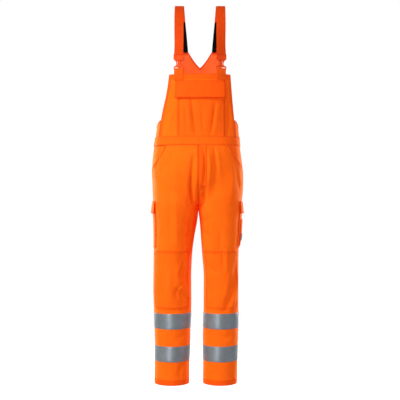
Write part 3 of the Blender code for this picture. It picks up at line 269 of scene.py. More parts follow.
# Creases of the legs: the points' turns are from the inseam by way of the front.
LEG_CREASES = {
    "right": creases(
        (80, -640, 125, -780, 285, -935, 100, 54, 4), (290, -915, 240, -1020, 232, -1135, 90, 60, -4),
        (60, -1085, 180, -1150, 330, -1260, 200, 60, 3), (50, -680, 82, -765, 125, -865, 110, -26),
        (180, -760, 250, -850, 360, -930, 130, -36), (482, -830, 492, -930, 435, -1060, 150, -52),
        (560, -860, 570, -950, 530, -1050, 110, 30), (660, -620, 700, -675, 757, -722, 100, 40),
        (740, -720, 600, -800, 470, -865, 130, 46, 3), (420, -640, 445, -700, 430, -780, 140, 26),
        (225, -1075, 350, -1149, 255, -1200, 70, 42, 4), (290, -1110, 420, -1165, 330, -1215, 100, -40),
        (290, -1205, 420, -1246, 390, -1284, 70, 36, -4), (170, -1292, 300, -1266, 450, -1225, 80, 36),
        (165, -1272, 285, -1244, 380, -1212, 100, -32), (620, -1110, 650, -1190, 600, -1290, 160, 36),
        (500, -1130, 530, -1220, 500, -1310, 120, -32), (1940, -900, 1760, -960, 1560, -960, 150, 68),
        (1920, -950, 1740, -1010, 1600, -1030, 140, 59), (1250, -700, 1450, -800, 1720, -870, 200, 51),
        (1300, -960, 1420, -1040, 1400, -1120, 180, 51), (1800, -1090, 1620, -1130, 1400, -1120, 140, 68),
        (1840, -1130, 1640, -1175, 1450, -1180, 140, 71), (1220, -1150, 1400, -1200, 1600, -1230, 150, 59),
        (1700, -1210, 1550, -1260, 1500, -1330, 160, 59), (1300, -1560, 1400, -1600, 1380, -1645, 160, 37),
        (1700, -1550, 1660, -1600, 1700, -1645, 160, 37), (250, -1420, 320, -1445, 450, -1440, 140, 27),
        (200, -1560, 330, -1590, 300, -1640, 150, 44), (620, -1555, 580, -1600, 600, -1645, 160, 31),
        (40, -900, 220, -950, 420, -925, 130, 51), (60, -935, 240, -1000, 400, -1000, 120, 44),
    ),
    "left": creases(
        (83, -620, 116, -700, 84, -805, 80, 36, 3), (120, -785, 165, -850, 245, -925, 100, 50, 4),
        (128, -628, 172, -705, 150, -800, 110, -26), (278, -612, 284, -680, 310, -750, 45, 34, 6),
        (320, -618, 335, -690, 365, -750, 110, -34), (695, -610, 660, -650, 625, -690, 100, 46),
        (640, -685, 720, -760, 800, -818, 100, 44, 3), (585, -700, 610, -790, 660, -860, 140, -36),
        (542, -1045, 530, -1105, 535, -1170, 60, 38, 5), (600, -1050, 590, -1110, 600, -1165, 100, -34),
        (830, -1105, 700, -1235, 550, -1345, 90, 36, 4), (880, -1150, 780, -1245, 660, -1335, 120, -48),
        (487, -985, 495, -1030, 485, -1075, 90, 36), (345, -835, 378, -980, 362, -1125, 150, -50),
        (270, -930, 300, -1020, 290, -1110, 110, 32), (300, -1180, 360, -1250, 340, -1335, 120, 36),
        (1950, -905, 1750, -950, 1540, -955, 150, 68), (1930, -955, 1720, -1005, 1580, -1040, 140, 54),
        (1220, -710, 1470, -790, 1740, -865, 200, 51), (1320, -970, 1400, -1050, 1420, -1130, 180, 48),
        (1780, -1100, 1600, -1125, 1360, -1130, 140, 68), (1820, -1145, 1660, -1185, 1420, -1185, 140, 65),
        (1200, -1160, 1380, -1215, 1620, -1240, 150, 61), (1680, -1220, 1570, -1270, 1520, -1330, 160, 51),
        (1320, -1565, 1380, -1605, 1340, -1648, 160, 34), (1720, -1556, 1680, -1602, 1740, -1646, 160, 41),
        (700, -1430, 620, -1445, 500, -1440, 130, 27), (800, -1555, 740, -1600, 780, -1645, 140, 51),
        (300, -1560, 340, -1605, 320, -1648, 150, 31), (50, -905, 220, -940, 400, -915, 130, 51),
        (50, -945, 200, -990, 340, -1010, 120, 41), (160, -1100, 320, -1150, 500, -1160, 140, 44),
        (140, -1190, 300, -1250, 360, -1330, 150, 48),
    ),
}
# Creases of the bib and the back panel, whose turns are from centre front.
BODY_CREASES = creases(
    (-155, -405, -100, -490, -42, -578, 60, 32, 4), (-205, -430, -170, -500, -120, -575, 100, -30),
    (285, -430, 257, -498, 204, -578, 40, 30, -6), (325, -440, 310, -500, 270, -574, 100, -36),
    (524, -425, 536, -508, 518, -578, 40, 34, 4), (-345, -435, -338, -500, -318, -575, 80, 26),
    (-237, -435, -232, -500, -213, -575, 80, 24), (48, -435, 62, -500, 97, -576, 80, 30),
    (-560, -420, -600, -490, -660, -570, 120, 42), (-500, -470, -520, -520, -620, -570, 130, -31),
    (500, -420, 560, -490, 620, -560, 160, 31), (1620, -260, 1700, -380, 1660, -520, 200, 51),
    (2360, -280, 2300, -400, 2340, -530, 200, 51), (1900, -300, 1950, -420, 1920, -560, 240, 41),
    (2100, -290, 2060, -430, 2120, -560, 220, 37), (1100, -540, 1400, -520, 1700, -560, 140, 41),
    (2900, -540, 2620, -525, 2320, -562, 140, 41),
)


def smooth_step(low: float, high: float, value: Array | float) -> Array:
    """Gives 0 under low, 1 over high and an even curve between."""
    share = np.clip((value - low) / (high - low), 0.0, 1.0)
    return share * share * (3.0 - 2.0 * share)


def unit(vectors: Array) -> Array:
    """Gives the vectors at length one."""
    return vectors / np.maximum(np.linalg.norm(vectors, axis=-1, keepdims=True), 1e-12)


def running(points: Array, axis: int) -> Array:
    """Gives the running length of a grid of points along one of its axes."""
    steps = np.linalg.norm(np.diff(points, axis=axis), axis=-1)
    return np.concatenate([0.0 * np.take(steps, [0], axis), np.cumsum(steps, axis)], axis)


def between(grid: Array, i: Array, j: Array, p: Array, q: Array) -> Array:
    """Reads a grid p of the way from row i to the next and q of the way from column j."""
    near, far = (grid[k, j] * (1 - q) + grid[k, j + 1] * q for k in (i, i + 1))
    return near * (1 - p) + far * p


class Table:
    """Rows of numbers against height, read on a smooth curve through them."""

    def __init__(self, rows: Sequence[tuple[float, ...]]) -> None:
        """Keeps the rows and how fast each column changes at each of them.

        Args:
            rows: The rows from the top down, each a height and its values.
        """
        data = np.array(rows, float)
        self.heights, self.values = data[:, 0], data[:, 1:]
        above = np.maximum(np.arange(len(data)) - 1, 0)
        below = np.minimum(np.arange(len(data)) + 1, len(data) - 1)
        rise = self.heights[below] - self.heights[above]
        self.slopes = (self.values[below] - self.values[above]) / rise[:, None]

    def at(self, z: Array | float) -> Array:
        """Reads the columns at one or more heights.

        Args:
            z: The heights.

        Returns:
            The columns, along the last axis.
        """
        z = np.clip(np.asarray(z, float), self.heights[-1], self.heights[0])
        i = np.clip(np.searchsorted(-self.heights, -z, side="right") - 1, 0, len(self.heights) - 2)
        span = self.heights[i + 1] - self.heights[i]
        t = ((z - self.heights[i]) / span)[..., None]
        start, end = self.values[i], self.values[i + 1]
        leave, arrive = self.slopes[i] * span[..., None], self.slopes[i + 1] * span[..., None]
        t2, t3 = t * t, t * t * t
        return (
            (2 * t3 - 3 * t2 + 1) * start
            + (t3 - 2 * t2 + t) * leave
            + (3 * t2 - 2 * t3) * end
            + (t3 - t2) * arrive
        )


class Quarters:
    """Quarters of rounded sections from front to side, spaced evenly along their length."""

    STEP = 0.002
    SHARES = 96

    def __init__(self, low: float, high: float, sizes: Callable[[Array], tuple]) -> None:
        """Samples the sections.

        Args:
            low: The lowest height.
            high: The highest height.
            sizes: Gives half width, half depth and squareness at heights.
        """
        self.low = low
        z = low + self.STEP * np.arange(int(math.ceil((high - low) / self.STEP)) + 1)
        wide, deep, square = (np.asarray(value)[:, None] for value in sizes(z))
        angle = np.linspace(0.0, 0.5 * math.pi, 129)
        x = wide * np.sin(angle) ** (2.0 / square)
        y = deep * np.maximum(np.cos(angle), 0.0) ** (2.0 / square)
        lengths = running(np.stack((x, y), axis=-1), 1)
        share = np.linspace(0.0, 1.0, self.SHARES + 1)
        self.x = np.stack([np.interp(share * n[-1], n, row) for n, row in zip(lengths, x)])
        self.y = np.stack([np.interp(share * n[-1], n, row) for n, row in zip(lengths, y)])
        self.length = lengths[:, -1]

    def read(self, z: Array, share: Array) -> Pair:
        """Gives x and y at heights and shares of the quarter.

        Args:
            z: Heights.
            share: Shares from front to side.

        Returns:
            x and y from the section's middle.
        """
        row = np.clip((z - self.low) / self.STEP, 0.0, len(self.x) - 1.001)
        column = np.clip(share, 0.0, 1.0) * self.SHARES
        i, j = row.astype(int), np.minimum(column.astype(int), self.SHARES - 1)
        p, q = row - i, column - j
        return between(self.x, i, j, p, q), between(self.y, i, j, p, q)

    def row(self, z: float) -> Pair:
        """Gives the shares and the x of one section, to turn an x into a share."""
        share = np.linspace(0.0, 1.0, self.SHARES + 1)
        return share, self.read(np.full(share.shape, z), share)[0]

    def metres(self, z: Array) -> Array:
        """Gives the quarter's length at heights."""
        row = np.clip((z - self.low) / self.STEP, 0.0, len(self.x) - 1.0)
        return np.interp(row, np.arange(len(self.length)), self.length)


class Figure:
    """The hollow form that the overalls keep: one body and two legs, with the large folds."""

    def __init__(self) -> None:
        """Reads the tables and samples the sections."""
        self.body_table = Table(BODY_ROWS)
        self.leg_tables = {side: Table(rows) for side, rows in LEG_ROWS.items()}
        self.bib_edges = Table(BIB_EDGE_ROWS)
        self.back_edges = Table(BACK_EDGE_ROWS)
        self.opening = Table(OPENING_ROWS)
        low, high = BODY_ROWS[-1][0], BODY_ROWS[0][0]
        self.body_halves = {
            out: Quarters(low, high, lambda z, out=out: self._body_sizes(z, out)) for out in (-1, 1)
        }
        self.leg_quarters = {
            side: Quarters(HEM_Z, LEG_ROWS[side][0][0], lambda z, side=side: self._leg_sizes(z, side))
            for side in SIDES
        }

    def _body_sizes(self, z: Array, out: int) -> tuple[Array, Array, Array]:
        """Gives half width, half depth and squareness of one half of the body."""
        right, middle, left, front, back, square = np.moveaxis(self.body_table.at(z), -1, 0)
        return (left - middle if out > 0 else middle - right), 0.5 * (back - front), square

    def _leg_sizes(self, z: Array, side: str) -> tuple[Array, Array, Array]:
        """Gives half width, half depth and squareness of a leg."""
        outer, inner, front, back, square = np.moveaxis(self.leg_tables[side].at(z), -1, 0)
        return 0.5 * np.abs(outer - inner), 0.5 * (back - front), square

    def body_ring(self, z: Array, turn: Array) -> Array:
        """Gives the body's smooth points, before any fold.

        Args:
            z: Heights.
            turn: Turns.

        Returns:
            The points.
        """
        _, middle, _, front, back, _ = np.moveaxis(self.body_table.at(z), -1, 0)
        turn = np.mod(turn, 4.0)
        is_left = turn <= 2.0
        share = np.where(is_left, turn, 4.0 - turn)
        is_front = share <= 1.0
        quarter = np.where(is_front, share, 2.0 - share)
        x_left, y_left = self.body_halves[1].read(z, quarter)
        x_right, y_right = self.body_halves[-1].read(z, quarter)
        x = middle + np.where(is_left, x_left, -x_right)
        y = np.where(is_left, y_left, y_right)
        return np.stack((x, 0.5 * (front + back) + np.where(is_front, -y, y), z), axis=-1)

    def body_turn(self, z: Array, x: Array) -> Array:
        """Gives the turns at which the body's front has the given x, a row for each height.

        Args:
            z: Heights.
            x: Places across.

        Returns:
            The turns.
        """
        turns = np.empty(np.broadcast(z, x).shape)
        z, x = np.broadcast_to(z, turns.shape), np.broadcast_to(x, turns.shape)
        for i in range(len(turns)):
            height = float(np.ravel(z[i])[0])
            middle = self.body_table.at(height)[1]
            offset = x[i] - middle
            found = []
            for out in (-1, 1):
                share, reach = self.body_halves[out].row(height)
                found.append(np.interp(np.abs(offset), reach, share))
            turns[i] = np.where(offset < 0.0, -found[0], found[1])
        return turns

    def leg_ring(self, side: str, z: Array, turn: Array) -> Array:
        """Gives a leg's smooth points, before any fold.

        Args:
            side: The leg's side.
            z: Heights.
            turn: Turns.

        Returns:
            The points.
        """
        outer, inner, front, back, _ = np.moveaxis(self.leg_tables[side].at(z), -1, 0)
        to_front = np.where(turn <= 1.0, turn, 2.0 - turn)
        is_outer = to_front >= 0.5
        share = np.where(is_outer, 2.0 * to_front - 1.0, 1.0 - 2.0 * to_front)
        x, y = self.leg_quarters[side].read(z, share)
        x = 0.5 * (outer + inner) + SIDES[side] * np.where(is_outer, x, -x)
        return np.stack((x, 0.5 * (front + back) + np.where(turn <= 1.0, -y, y), z), axis=-1)

    @staticmethod
    def leg_share(z: Array, turn: Array) -> Array:
        """Gives how far the body has turned into a leg: 0 at the hips, 1 at the crotch.

        Args:
            z: Heights.
            turn: Turns.

        Returns:
            The shares.
        """
        drop = np.clip((RISE_Z - z) / (RISE_Z - CROTCH_Z), 0.0, 1.0)
        curved = 1.0 - np.sqrt(1.0 - drop * drop)
        even = smooth_step(0.0, 1.0, drop)
        inner = np.minimum(turn, 2.0 - turn)
        return curved + (even - curved) * smooth_step(0.1, 0.55, inner)

    @staticmethod
    def folded(points: Array, is_front: Array, strength: Array) -> Array:
        """Pushes the solids' large folds into points of the front or the back.

        Args:
            points: The points.
            is_front: Which of them lie in front.
            strength: The share of the folds that each takes.

        Returns:
            The moved points.
        """
        moved = points.copy()
        for folds, chosen, way in ((FRONT_FOLDS, is_front, 1.0), (BACK_FOLDS, ~is_front, -1.0)):
            total = np.zeros(points.shape[:-1])
            for top, low, x_top, x_middle, x_low, width, depth in folds:
                along = np.clip((top - points[..., 2]) / (top - low), 0.0, 1.0)
                bend = 4.0 * along * (1.0 - along) * (x_middle - 0.5 * (x_top + x_low))
                x = x_top + (x_low - x_top) * along + bend
                taper = np.sin(math.pi * along) ** 0.6
                total += depth * np.exp(-(((points[..., 0] - x) / width) ** 2)) * taper
            moved[..., 1] += np.where(chosen, way * DEEPER * strength * total, 0.0)
        return moved

    def body(self, z: Array, turn: Array) -> Array:
        """Gives the body's points with the large folds.

        Args:
            z: Heights.
            turn: Turns.

        Returns:
            The points.
        """
        from_side = np.abs(np.abs(np.mod(turn + 2.0, 4.0) - 2.0) - 1.0)
        is_front = np.cos(0.5 * math.pi * turn) >= 0.0
        return self.folded(self.body_ring(z, turn), is_front, smooth_step(0.0, 0.25, from_side))

    def trousers(self, side: str, z: Array, turn: Array) -> Array:
        """Gives points of a trouser leg, from the waistband to the hem, with the large folds.

        Args:
            side: The leg's side.
            z: Heights.
            turn: Turns.

        Returns:
            The points.
        """
        is_hip = z > CROTCH_Z
        turn = np.where(is_hip, np.clip(turn, 0.0, 2.0), np.mod(turn, 2.0))
        share = self.leg_share(z, turn)[..., None]
        body = self.body_ring(z, SIDES[side] * turn)
        points = self.leg_ring(side, z, turn)
        points = np.where(is_hip[..., None], body + (points - body) * share, points)
        from_seam = np.minimum(np.abs(turn - np.round(turn)) * 2.0, 1.0)
        is_outer = (turn > 0.5) & (turn < 1.5)
        inner = np.where(is_hip, 1.0, smooth_step(0.0, 0.22, from_seam))
        inner = inner * smooth_step(0.0, 0.06, from_seam)
        strength = np.where(is_outer, smooth_step(0.0, 0.3, from_seam), inner)
        return self.folded(points, turn <= 1.0, strength)

    def leg_metres(self, side: str, z: Array) -> Array:
        """Gives the metres of cloth from a leg panel's inner edge to its side seam.

        Args:
            side: The leg's side.
            z: Heights.

        Returns:
            The lengths.
        """
        z = np.asarray(z, float)
        body = self.body_halves[SIDES[side]].metres(z)
        leg = 2.0 * self.leg_quarters[side].metres(z)
        share = np.clip((RISE_Z - z) / (RISE_Z - CROTCH_Z), 0.0, 1.0)
        return body + (leg - body) * share


class Ground:
    """A stretch of the figure that cloth is laid on, with its normals and small creases."""

    STEP_Z = 0.0015
    STEP_TURN = 0.01

    def __init__(
        self, point: Reach, creases: Sequence[Crease], girth: float, outward: float,
        ends: tuple[float, float] | None = None,
    ) -> None:
        """Keeps what the ground is made from.

        Args:
            point: Gives the figure's points at heights and turns.
            creases: The small creases that lie on it.
            girth: Metres of cloth to one turn, for the creases.
            outward: 1 or -1, the way that its turns run.
            ends: The first and last turn above the crotch, where the cloth ends.
        """
        self.point = point
        self.creases = tuple(creases)
        self.girth = girth
        self.outward = outward
        self.ends = ends

    def normals(self, z: Array, turn: Array) -> Array:
        """Gives the outward normals at heights and turns.

        Args:
            z: Heights.
            turn: Turns.

        Returns:
            The normals.
        """
        before, after = turn - self.STEP_TURN, turn + self.STEP_TURN
        if self.ends is not None:
            is_hip = z > CROTCH_Z - 0.0001
            before = np.where(is_hip, np.maximum(before, self.ends[0]), before)
            after = np.where(is_hip, np.minimum(after, self.ends[1]), after)
        across = self.point(z, after) - self.point(z, before)
        down = self.point(z - self.STEP_Z, turn) - self.point(z + self.STEP_Z, turn)
        return unit(np.cross(down, across)) * self.outward

    def push(self, z: Array, turn: Array) -> Array:
        """Gives how deep the small creases push the cloth in.

        Args:
            z: Heights.
            turn: Turns.

        Returns:
            The depths in metres.
        """
        total = np.zeros(z.shape)
        for crease in self.creases:
            total += crease.push(turn * self.girth, z, self.girth)
        if self.ends is not None:
            from_seam = np.minimum(turn - self.ends[0], self.ends[1] - turn)
            total *= smooth_step(0.0, 0.06, from_seam)
        return total

    def lay(self, z: Array, turn: Array, out: Array | float) -> Pair:
        """Gives points a distance out of the creased ground, and the normals there."""
        normals = self.normals(z, turn)
        return self.point(z, turn) + normals * (out - self.push(z, turn))[..., None], normals


class Side(Enum):
    """The four edges of a panel's grid."""

    TOP = "top"
    LOW = "low"
    FIRST = "first"
    LAST = "last"


class Hold(Enum):
    HUNG = "hung"
    GATHERED = "gathered"
    LAID = "laid"
    STRETCHED = "stretched"


def linear(colour: str) -> tuple[float, float, float, float]:
    """Turns an sRGB hex colour to linear light with full alpha.

    Args:
        colour: The hex value.

    Returns:
        Red, green, blue and alpha.
    """
    parts = [int(colour[i : i + 2], 16) / 255.0 for i in (1, 3, 5)]
    light = [c / 12.92 if c <= 0.04045 else ((c + 0.055) / 1.055) ** 2.4 for c in parts]
    return light[0], light[1], light[2], 1.0


def add_node(
    tree: Tree, kind: str, values: dict | None = None, links: dict | None = None
) -> bpy.types.Node:
    """Adds a node with its settings and links.

    Args:
        tree: The node tree.
        kind: The node's type.
        values: Settings of the node, then values of its inputs by name or number.
        links: Sockets to join to its inputs by name or number, or nodes for their first output.

    Returns:
        The node.
    """
    node = tree.nodes.new(kind)
    for key, value in (values or {}).items():
        if isinstance(key, int) or key in node.inputs:
            node.inputs[key].default_value = value
        else:
            setattr(node, key, value)
    for key, source in (links or {}).items():
        socket = source.outputs[0] if isinstance(source, bpy.types.Node) else source
        tree.links.new(socket, node.inputs[key])
    return node


@dataclass(frozen=True)
class Finish:
    """A finish: its name, its colours and how its surface scatters light."""

    name: str
    colour: str
    second: str
    roughness: float
    sheen: float = 0.0
    sheen_tint: str = "#ffffff"
    sheen_roughness: float = 0.35
    metallic: float = 0.0
    shine: float = 0.5
    # Painted glow: a steady emission that keeps cloth, webbing and acetal red in shade; on the paper it is
    # the white that the camera sees.
    painted_glow_and_paper_white: float = 0.0
    painted_glow_and_paper_colour: str = "#ff2a00"

    def start(self) -> tuple[Material, Tree, bpy.types.Node]:
        """Makes the material with what is the same all over the surface.

        Returns:
            The material, its node tree and its shader.
        """
        material = bpy.data.materials.new(self.name)
        material.use_nodes = True
        tree = material.node_tree
        shader = tree.nodes["Principled BSDF"]
        values = {
            "Base Color": linear(self.colour), "Roughness": self.roughness, "Metallic": self.metallic,
            "Emission Color": linear(self.painted_glow_and_paper_colour), "Emission Strength": self.painted_glow_and_paper_white,
            "Specular IOR Level": self.shine, "Sheen Weight": self.sheen,
            "Sheen Roughness": self.sheen_roughness, "Sheen Tint": linear(self.sheen_tint),
        }
        for name, value in values.items():
            shader.inputs[name].default_value = value
        return material, tree, shader

    def blotch(self, tree: Tree, size: float, low: float, high: float) -> bpy.types.Node:
        """Mixes the two colours in soft patches of a size in metres.

        Args:
            tree: The material's node tree.
            size: The patches' size.
            low: The noise up to which the first colour is alone.
            high: The noise from which the second colour is alone.

        Returns:
            The node that mixes them.
        """
        where = add_node(tree, "ShaderNodeTexCoord")
        noise = add_node(
            tree, "ShaderNodeTexNoise", {"Scale": 1.0 / size, "Detail": 3.0, "Roughness": 0.55},
            {"Vector": where.outputs["Object"]},
        )
        share = add_node(
            tree, "ShaderNodeMapRange", {"From Min": low, "From Max": high}, {"Value": noise}
        )
        values = {"data_type": "RGBA", 6: linear(self.colour), 7: linear(self.second)}
        return add_node(tree, "ShaderNodeMix", values, {0: share})

    @staticmethod
    def join(shader: bpy.types.Node, colour: bpy.types.NodeSocket, reliefs: Reliefs = ()) -> None:
        """Joins the surface's patterns to the shader, each relief laid over the one before.

        Args:
            shader: The material's shader.
            colour: The socket that gives its colour.
            reliefs: The source, strength and depth in metres of each relief.
        """
        tree, under = shader.id_data, {}
        tree.links.new(colour, shader.inputs["Base Color"])
        for height, strength, deep in reliefs:
            values = {"Strength": strength, "Distance": deep}
            relief = add_node(tree, "ShaderNodeBump", values, {"Height": height, **under})
            under = {"Normal": relief}
        if under:
            tree.links.new(under["Normal"].outputs["Normal"], shader.inputs["Normal"])


@dataclass(frozen=True)
class Twill(Finish):
    """Polyester and cotton work twill, dyed fluorescent: matte, with a fine diagonal rib.

    The eye gets a flat, very saturated orange that a painted red glow keeps red in shade, a
    faint nap that lights up where the cloth turns away, soft handling creases and a little
    pucker beside every seam. Painted shade darkens it along its edges and under flaps, and
    it is painted deeper where it lies double, partly as painted shade.
    """

    # The colour painted where the cloth lies double; on flaps and bands it is also painted shade.
    deep: str = "#d6520c"
    # The colour of the painted shade along the cloth's edges and under flaps.
    seam: str = "#b83405"
    seam_shade_width: float = 0.006
    rib: float = 0.0024  # the real rib is 0.7 mm apart, drawn coarser so that it shows
    rib_deep: float = 0.00022
    crumple: float = 0.003
    crumple_wide: float = 0.03
    pucker: float = 0.0012
    pucker_wide: float = 0.009

    def dye(self, tree: Tree) -> bpy.types.NodeSocket:
        """Gives the cloth's colour, painted deeper where it lies double, partly as painted shade,
        and with painted shade along its edges.

        Args:
            tree: The material's node tree.

        Returns:
            The colour's socket.
        """
        mix = self.blotch(tree, 0.09, 0.3, 0.7)
        # Painted deeper colour where the cloth lies double, partly painted shade.
        layers = add_node(tree, "ShaderNodeAttribute", {"attribute_name": "layers"})
        double = add_node(
            tree, "ShaderNodeMix", {"data_type": "RGBA", 7: linear(self.deep)},
            {0: layers.outputs["Fac"], 6: mix.outputs[2]},
        )
        # Painted shade along the edges, as strong and wide as each edge is marked for.
        edge = add_node(tree, "ShaderNodeAttribute", {"attribute_name": "edge"})
        seam_shade = add_node(tree, "ShaderNodeAttribute", {"attribute_name": "seam_shade"})
        share = add_node(
            tree, "ShaderNodeMath",
            {"operation": "MULTIPLY_ADD", "use_clamp": True, 1: -1.0 / self.seam_shade_width},
            {0: edge.outputs["Fac"], 2: seam_shade.outputs["Fac"]},
        )
        line = add_node(
            tree, "ShaderNodeMix", {"data_type": "RGBA", 7: linear(self.seam)},
            {0: share, 6: double.outputs[2]},
        )
        return line.outputs[2]

    def make(self) -> Material:
        """Makes the material.

        Returns:
            The material.
        """
        material, tree, shader = self.start()
        cloth = add_node(tree, "ShaderNodeUVMap", {"uv_map": "cloth"})
        turned = add_node(
            tree, "ShaderNodeMapping", {"Rotation": (0.0, 0.0, math.radians(52.0))}, {"Vector": cloth}
        )
        rib = add_node(
            tree, "ShaderNodeTexWave",
            {"Scale": math.pi / (10.0 * self.rib), "Distortion": 0.5, "Detail": 1.0}, {"Vector": turned},
        )
        stretched = add_node(tree, "ShaderNodeMapping", {"Scale": (1.0, 0.45, 1.0)}, {"Vector": cloth})
        crumple = add_node(
            tree, "ShaderNodeTexNoise",
            {"Scale": 1.0 / self.crumple_wide, "Detail": 4.0, "Roughness": 0.5, "Distortion": 0.4},
            {"Vector": stretched},
        )
        edge = add_node(tree, "ShaderNodeAttribute", {"attribute_name": "edge"})
        near = add_node(
            tree, "ShaderNodeMapRange",
            {"From Min": 0.002, "From Max": 0.016, "To Min": 1.0, "To Max": 0.0},
            {"Value": edge.outputs["Fac"]},
        )
        pucker = add_node(
            tree, "ShaderNodeTexNoise", {"Scale": 1.0 / self.pucker_wide, "Detail": 1.0},
            {"Vector": cloth},
        )
        gathered = add_node(tree, "ShaderNodeMath", {"operation": "MULTIPLY"}, {0: near, 1: pucker})
        reliefs = (
            (crumple, 1.0, self.crumple), (gathered, 1.0, self.pucker),
            (rib.outputs["Fac"], 1.0, self.rib_deep),
        )
        self.join(shader, self.dye(tree), reliefs)
        return material


@dataclass(frozen=True)
class Webbing(Finish):
    """Woven webbing or elastic: close ribs along or across it, a little lustre."""

    rib: float = 0.002  # webbing's picks are 1 mm apart, drawn coarser so that they show
    rib_deep: float = 0.0003
    lengthways: bool = False

    def make(self) -> Material:
        """Makes the material.

        Returns:
            The material.
        """
        material, tree, shader = self.start()
        mix = self.blotch(tree, 0.02, 0.3, 0.7)
        cloth = add_node(tree, "ShaderNodeUVMap", {"uv_map": "cloth"})
        rib = add_node(
            tree, "ShaderNodeTexWave",
            {
                "bands_direction": "X" if self.lengthways else "Y", "Scale": math.pi / (10.0 * self.rib),
                "Distortion": 0.8, "Detail": 1.0, "Detail Scale": 4.0,
            },
            {"Vector": cloth},
        )
        dark = add_node(
            tree, "ShaderNodeMapRange", {"To Min": 0.86, "To Max": 1.0}, {"Value": rib.outputs["Fac"]}
        )
        shaded = add_node(
            tree, "ShaderNodeVectorMath", {"operation": "SCALE"}, {0: mix.outputs[2], "Scale": dark}
        )
        self.join(shader, shaded.outputs["Vector"], ((rib.outputs["Fac"], 1.0, self.rib_deep),))
        return material


@dataclass(frozen=True)
class BeadTape(Finish):
    """Glass-bead reflective tape: silver grey fabric under tiny beads.

    The eye gets a soft metallic grey with a broad vertical highlight and a fine grain.
    """

    grain: float = 0.0016  # beads are 0.05 mm across, drawn coarser so that they show
    grain_deep: float = 0.0001
    wave_wide: float = 0.028
    wave_deep: float = 0.0009

    def make(self) -> Material:
        """Makes the material.

        Returns:
            The material.
        """
        material, tree, shader = self.start()
        mix = self.blotch(tree, 0.035, 0.3, 0.7)
        cloth = add_node(tree, "ShaderNodeUVMap", {"uv_map": "cloth"})
        beads = add_node(tree, "ShaderNodeTexVoronoi", {"Scale": 1.0 / self.grain}, {"Vector": cloth})
        rough = add_node(
            tree, "ShaderNodeMapRange",
            {"To Min": self.roughness - 0.06, "To Max": self.roughness + 0.1}, {"Value": beads},
        )
        tree.links.new(rough.outputs["Result"], shader.inputs["Roughness"])
        soft = add_node(
            tree, "ShaderNodeTexNoise", {"Scale": 1.0 / self.wave_wide, "Detail": 2.0}, {"Vector": cloth}
        )
        wave = (soft, 1.0, self.wave_deep)
        self.join(shader, mix.outputs[2], (wave, (beads, 0.6, self.grain_deep)))
        return material


@dataclass(frozen=True)
class Acetal(Finish):
    """Injection-moulded acetal: slightly waxy, half matte, with a fine spark-eroded grain."""

    grain: float = 0.0009
    grain_deep: float = 0.00005
    ior: float = 1.48

    def make(self) -> Material:
        """Makes the material.

        Returns:
            The material.
        """
        material, tree, shader = self.start()
        shader.inputs["IOR"].default_value = self.ior
        mix = self.blotch(tree, 0.012, 0.35, 0.65)
        where = add_node(tree, "ShaderNodeTexCoord")
        grain = add_node(
            tree, "ShaderNodeTexNoise", {"Scale": 1.0 / self.grain, "Detail": 2.0},
            {"Vector": where.outputs["Object"]},
        )
        rough = add_node(
            tree, "ShaderNodeMapRange",
            {"To Min": self.roughness - 0.08, "To Max": self.roughness + 0.08}, {"Value": grain},
        )
        tree.links.new(rough.outputs["Result"], shader.inputs["Roughness"])
        self.join(shader, mix.outputs[2], ((grain, 0.5, self.grain_deep),))
        return material


@dataclass(frozen=True)
class Paper(Finish):
    """Matt paper under the garment, which the eye sees white and which throws little light back."""

    def make(self) -> Material:
        """Makes the material.

        Returns:
            The material.
        """
        material, tree, shader = self.start()
        self.join(shader, self.blotch(tree, 0.25, 0.35, 0.65).outputs[2])
        path = add_node(tree, "ShaderNodeLightPath")
        seen = add_node(tree, "ShaderNodeMapRange", {"To Max": self.painted_glow_and_paper_white}, {"Value": path})
        tree.links.new(seen.outputs["Result"], shader.inputs["Emission Strength"])
        return material


@dataclass(frozen=True)
class Thread(Finish):
    """Spun polyester sewing thread: a little lustre and the turns of its plies."""

    ply: float = 0.0007
    ply_deep: float = 0.0001

    def make(self) -> Material:
        """Makes the material.

        Returns:
            The material.
        """
        material, tree, shader = self.start()
        mix = self.blotch(tree, 0.006, 0.35, 0.65)
        where = add_node(tree, "ShaderNodeTexCoord")
        plies = add_node(
            tree, "ShaderNodeTexWave",
            {"bands_direction": "DIAGONAL", "Scale": math.pi / (10.0 * self.ply)},
            {"Vector": where.outputs["Object"]},
        )
        self.join(shader, mix.outputs[2], ((plies.outputs["Fac"], 0.6, self.ply_deep),))
        return material


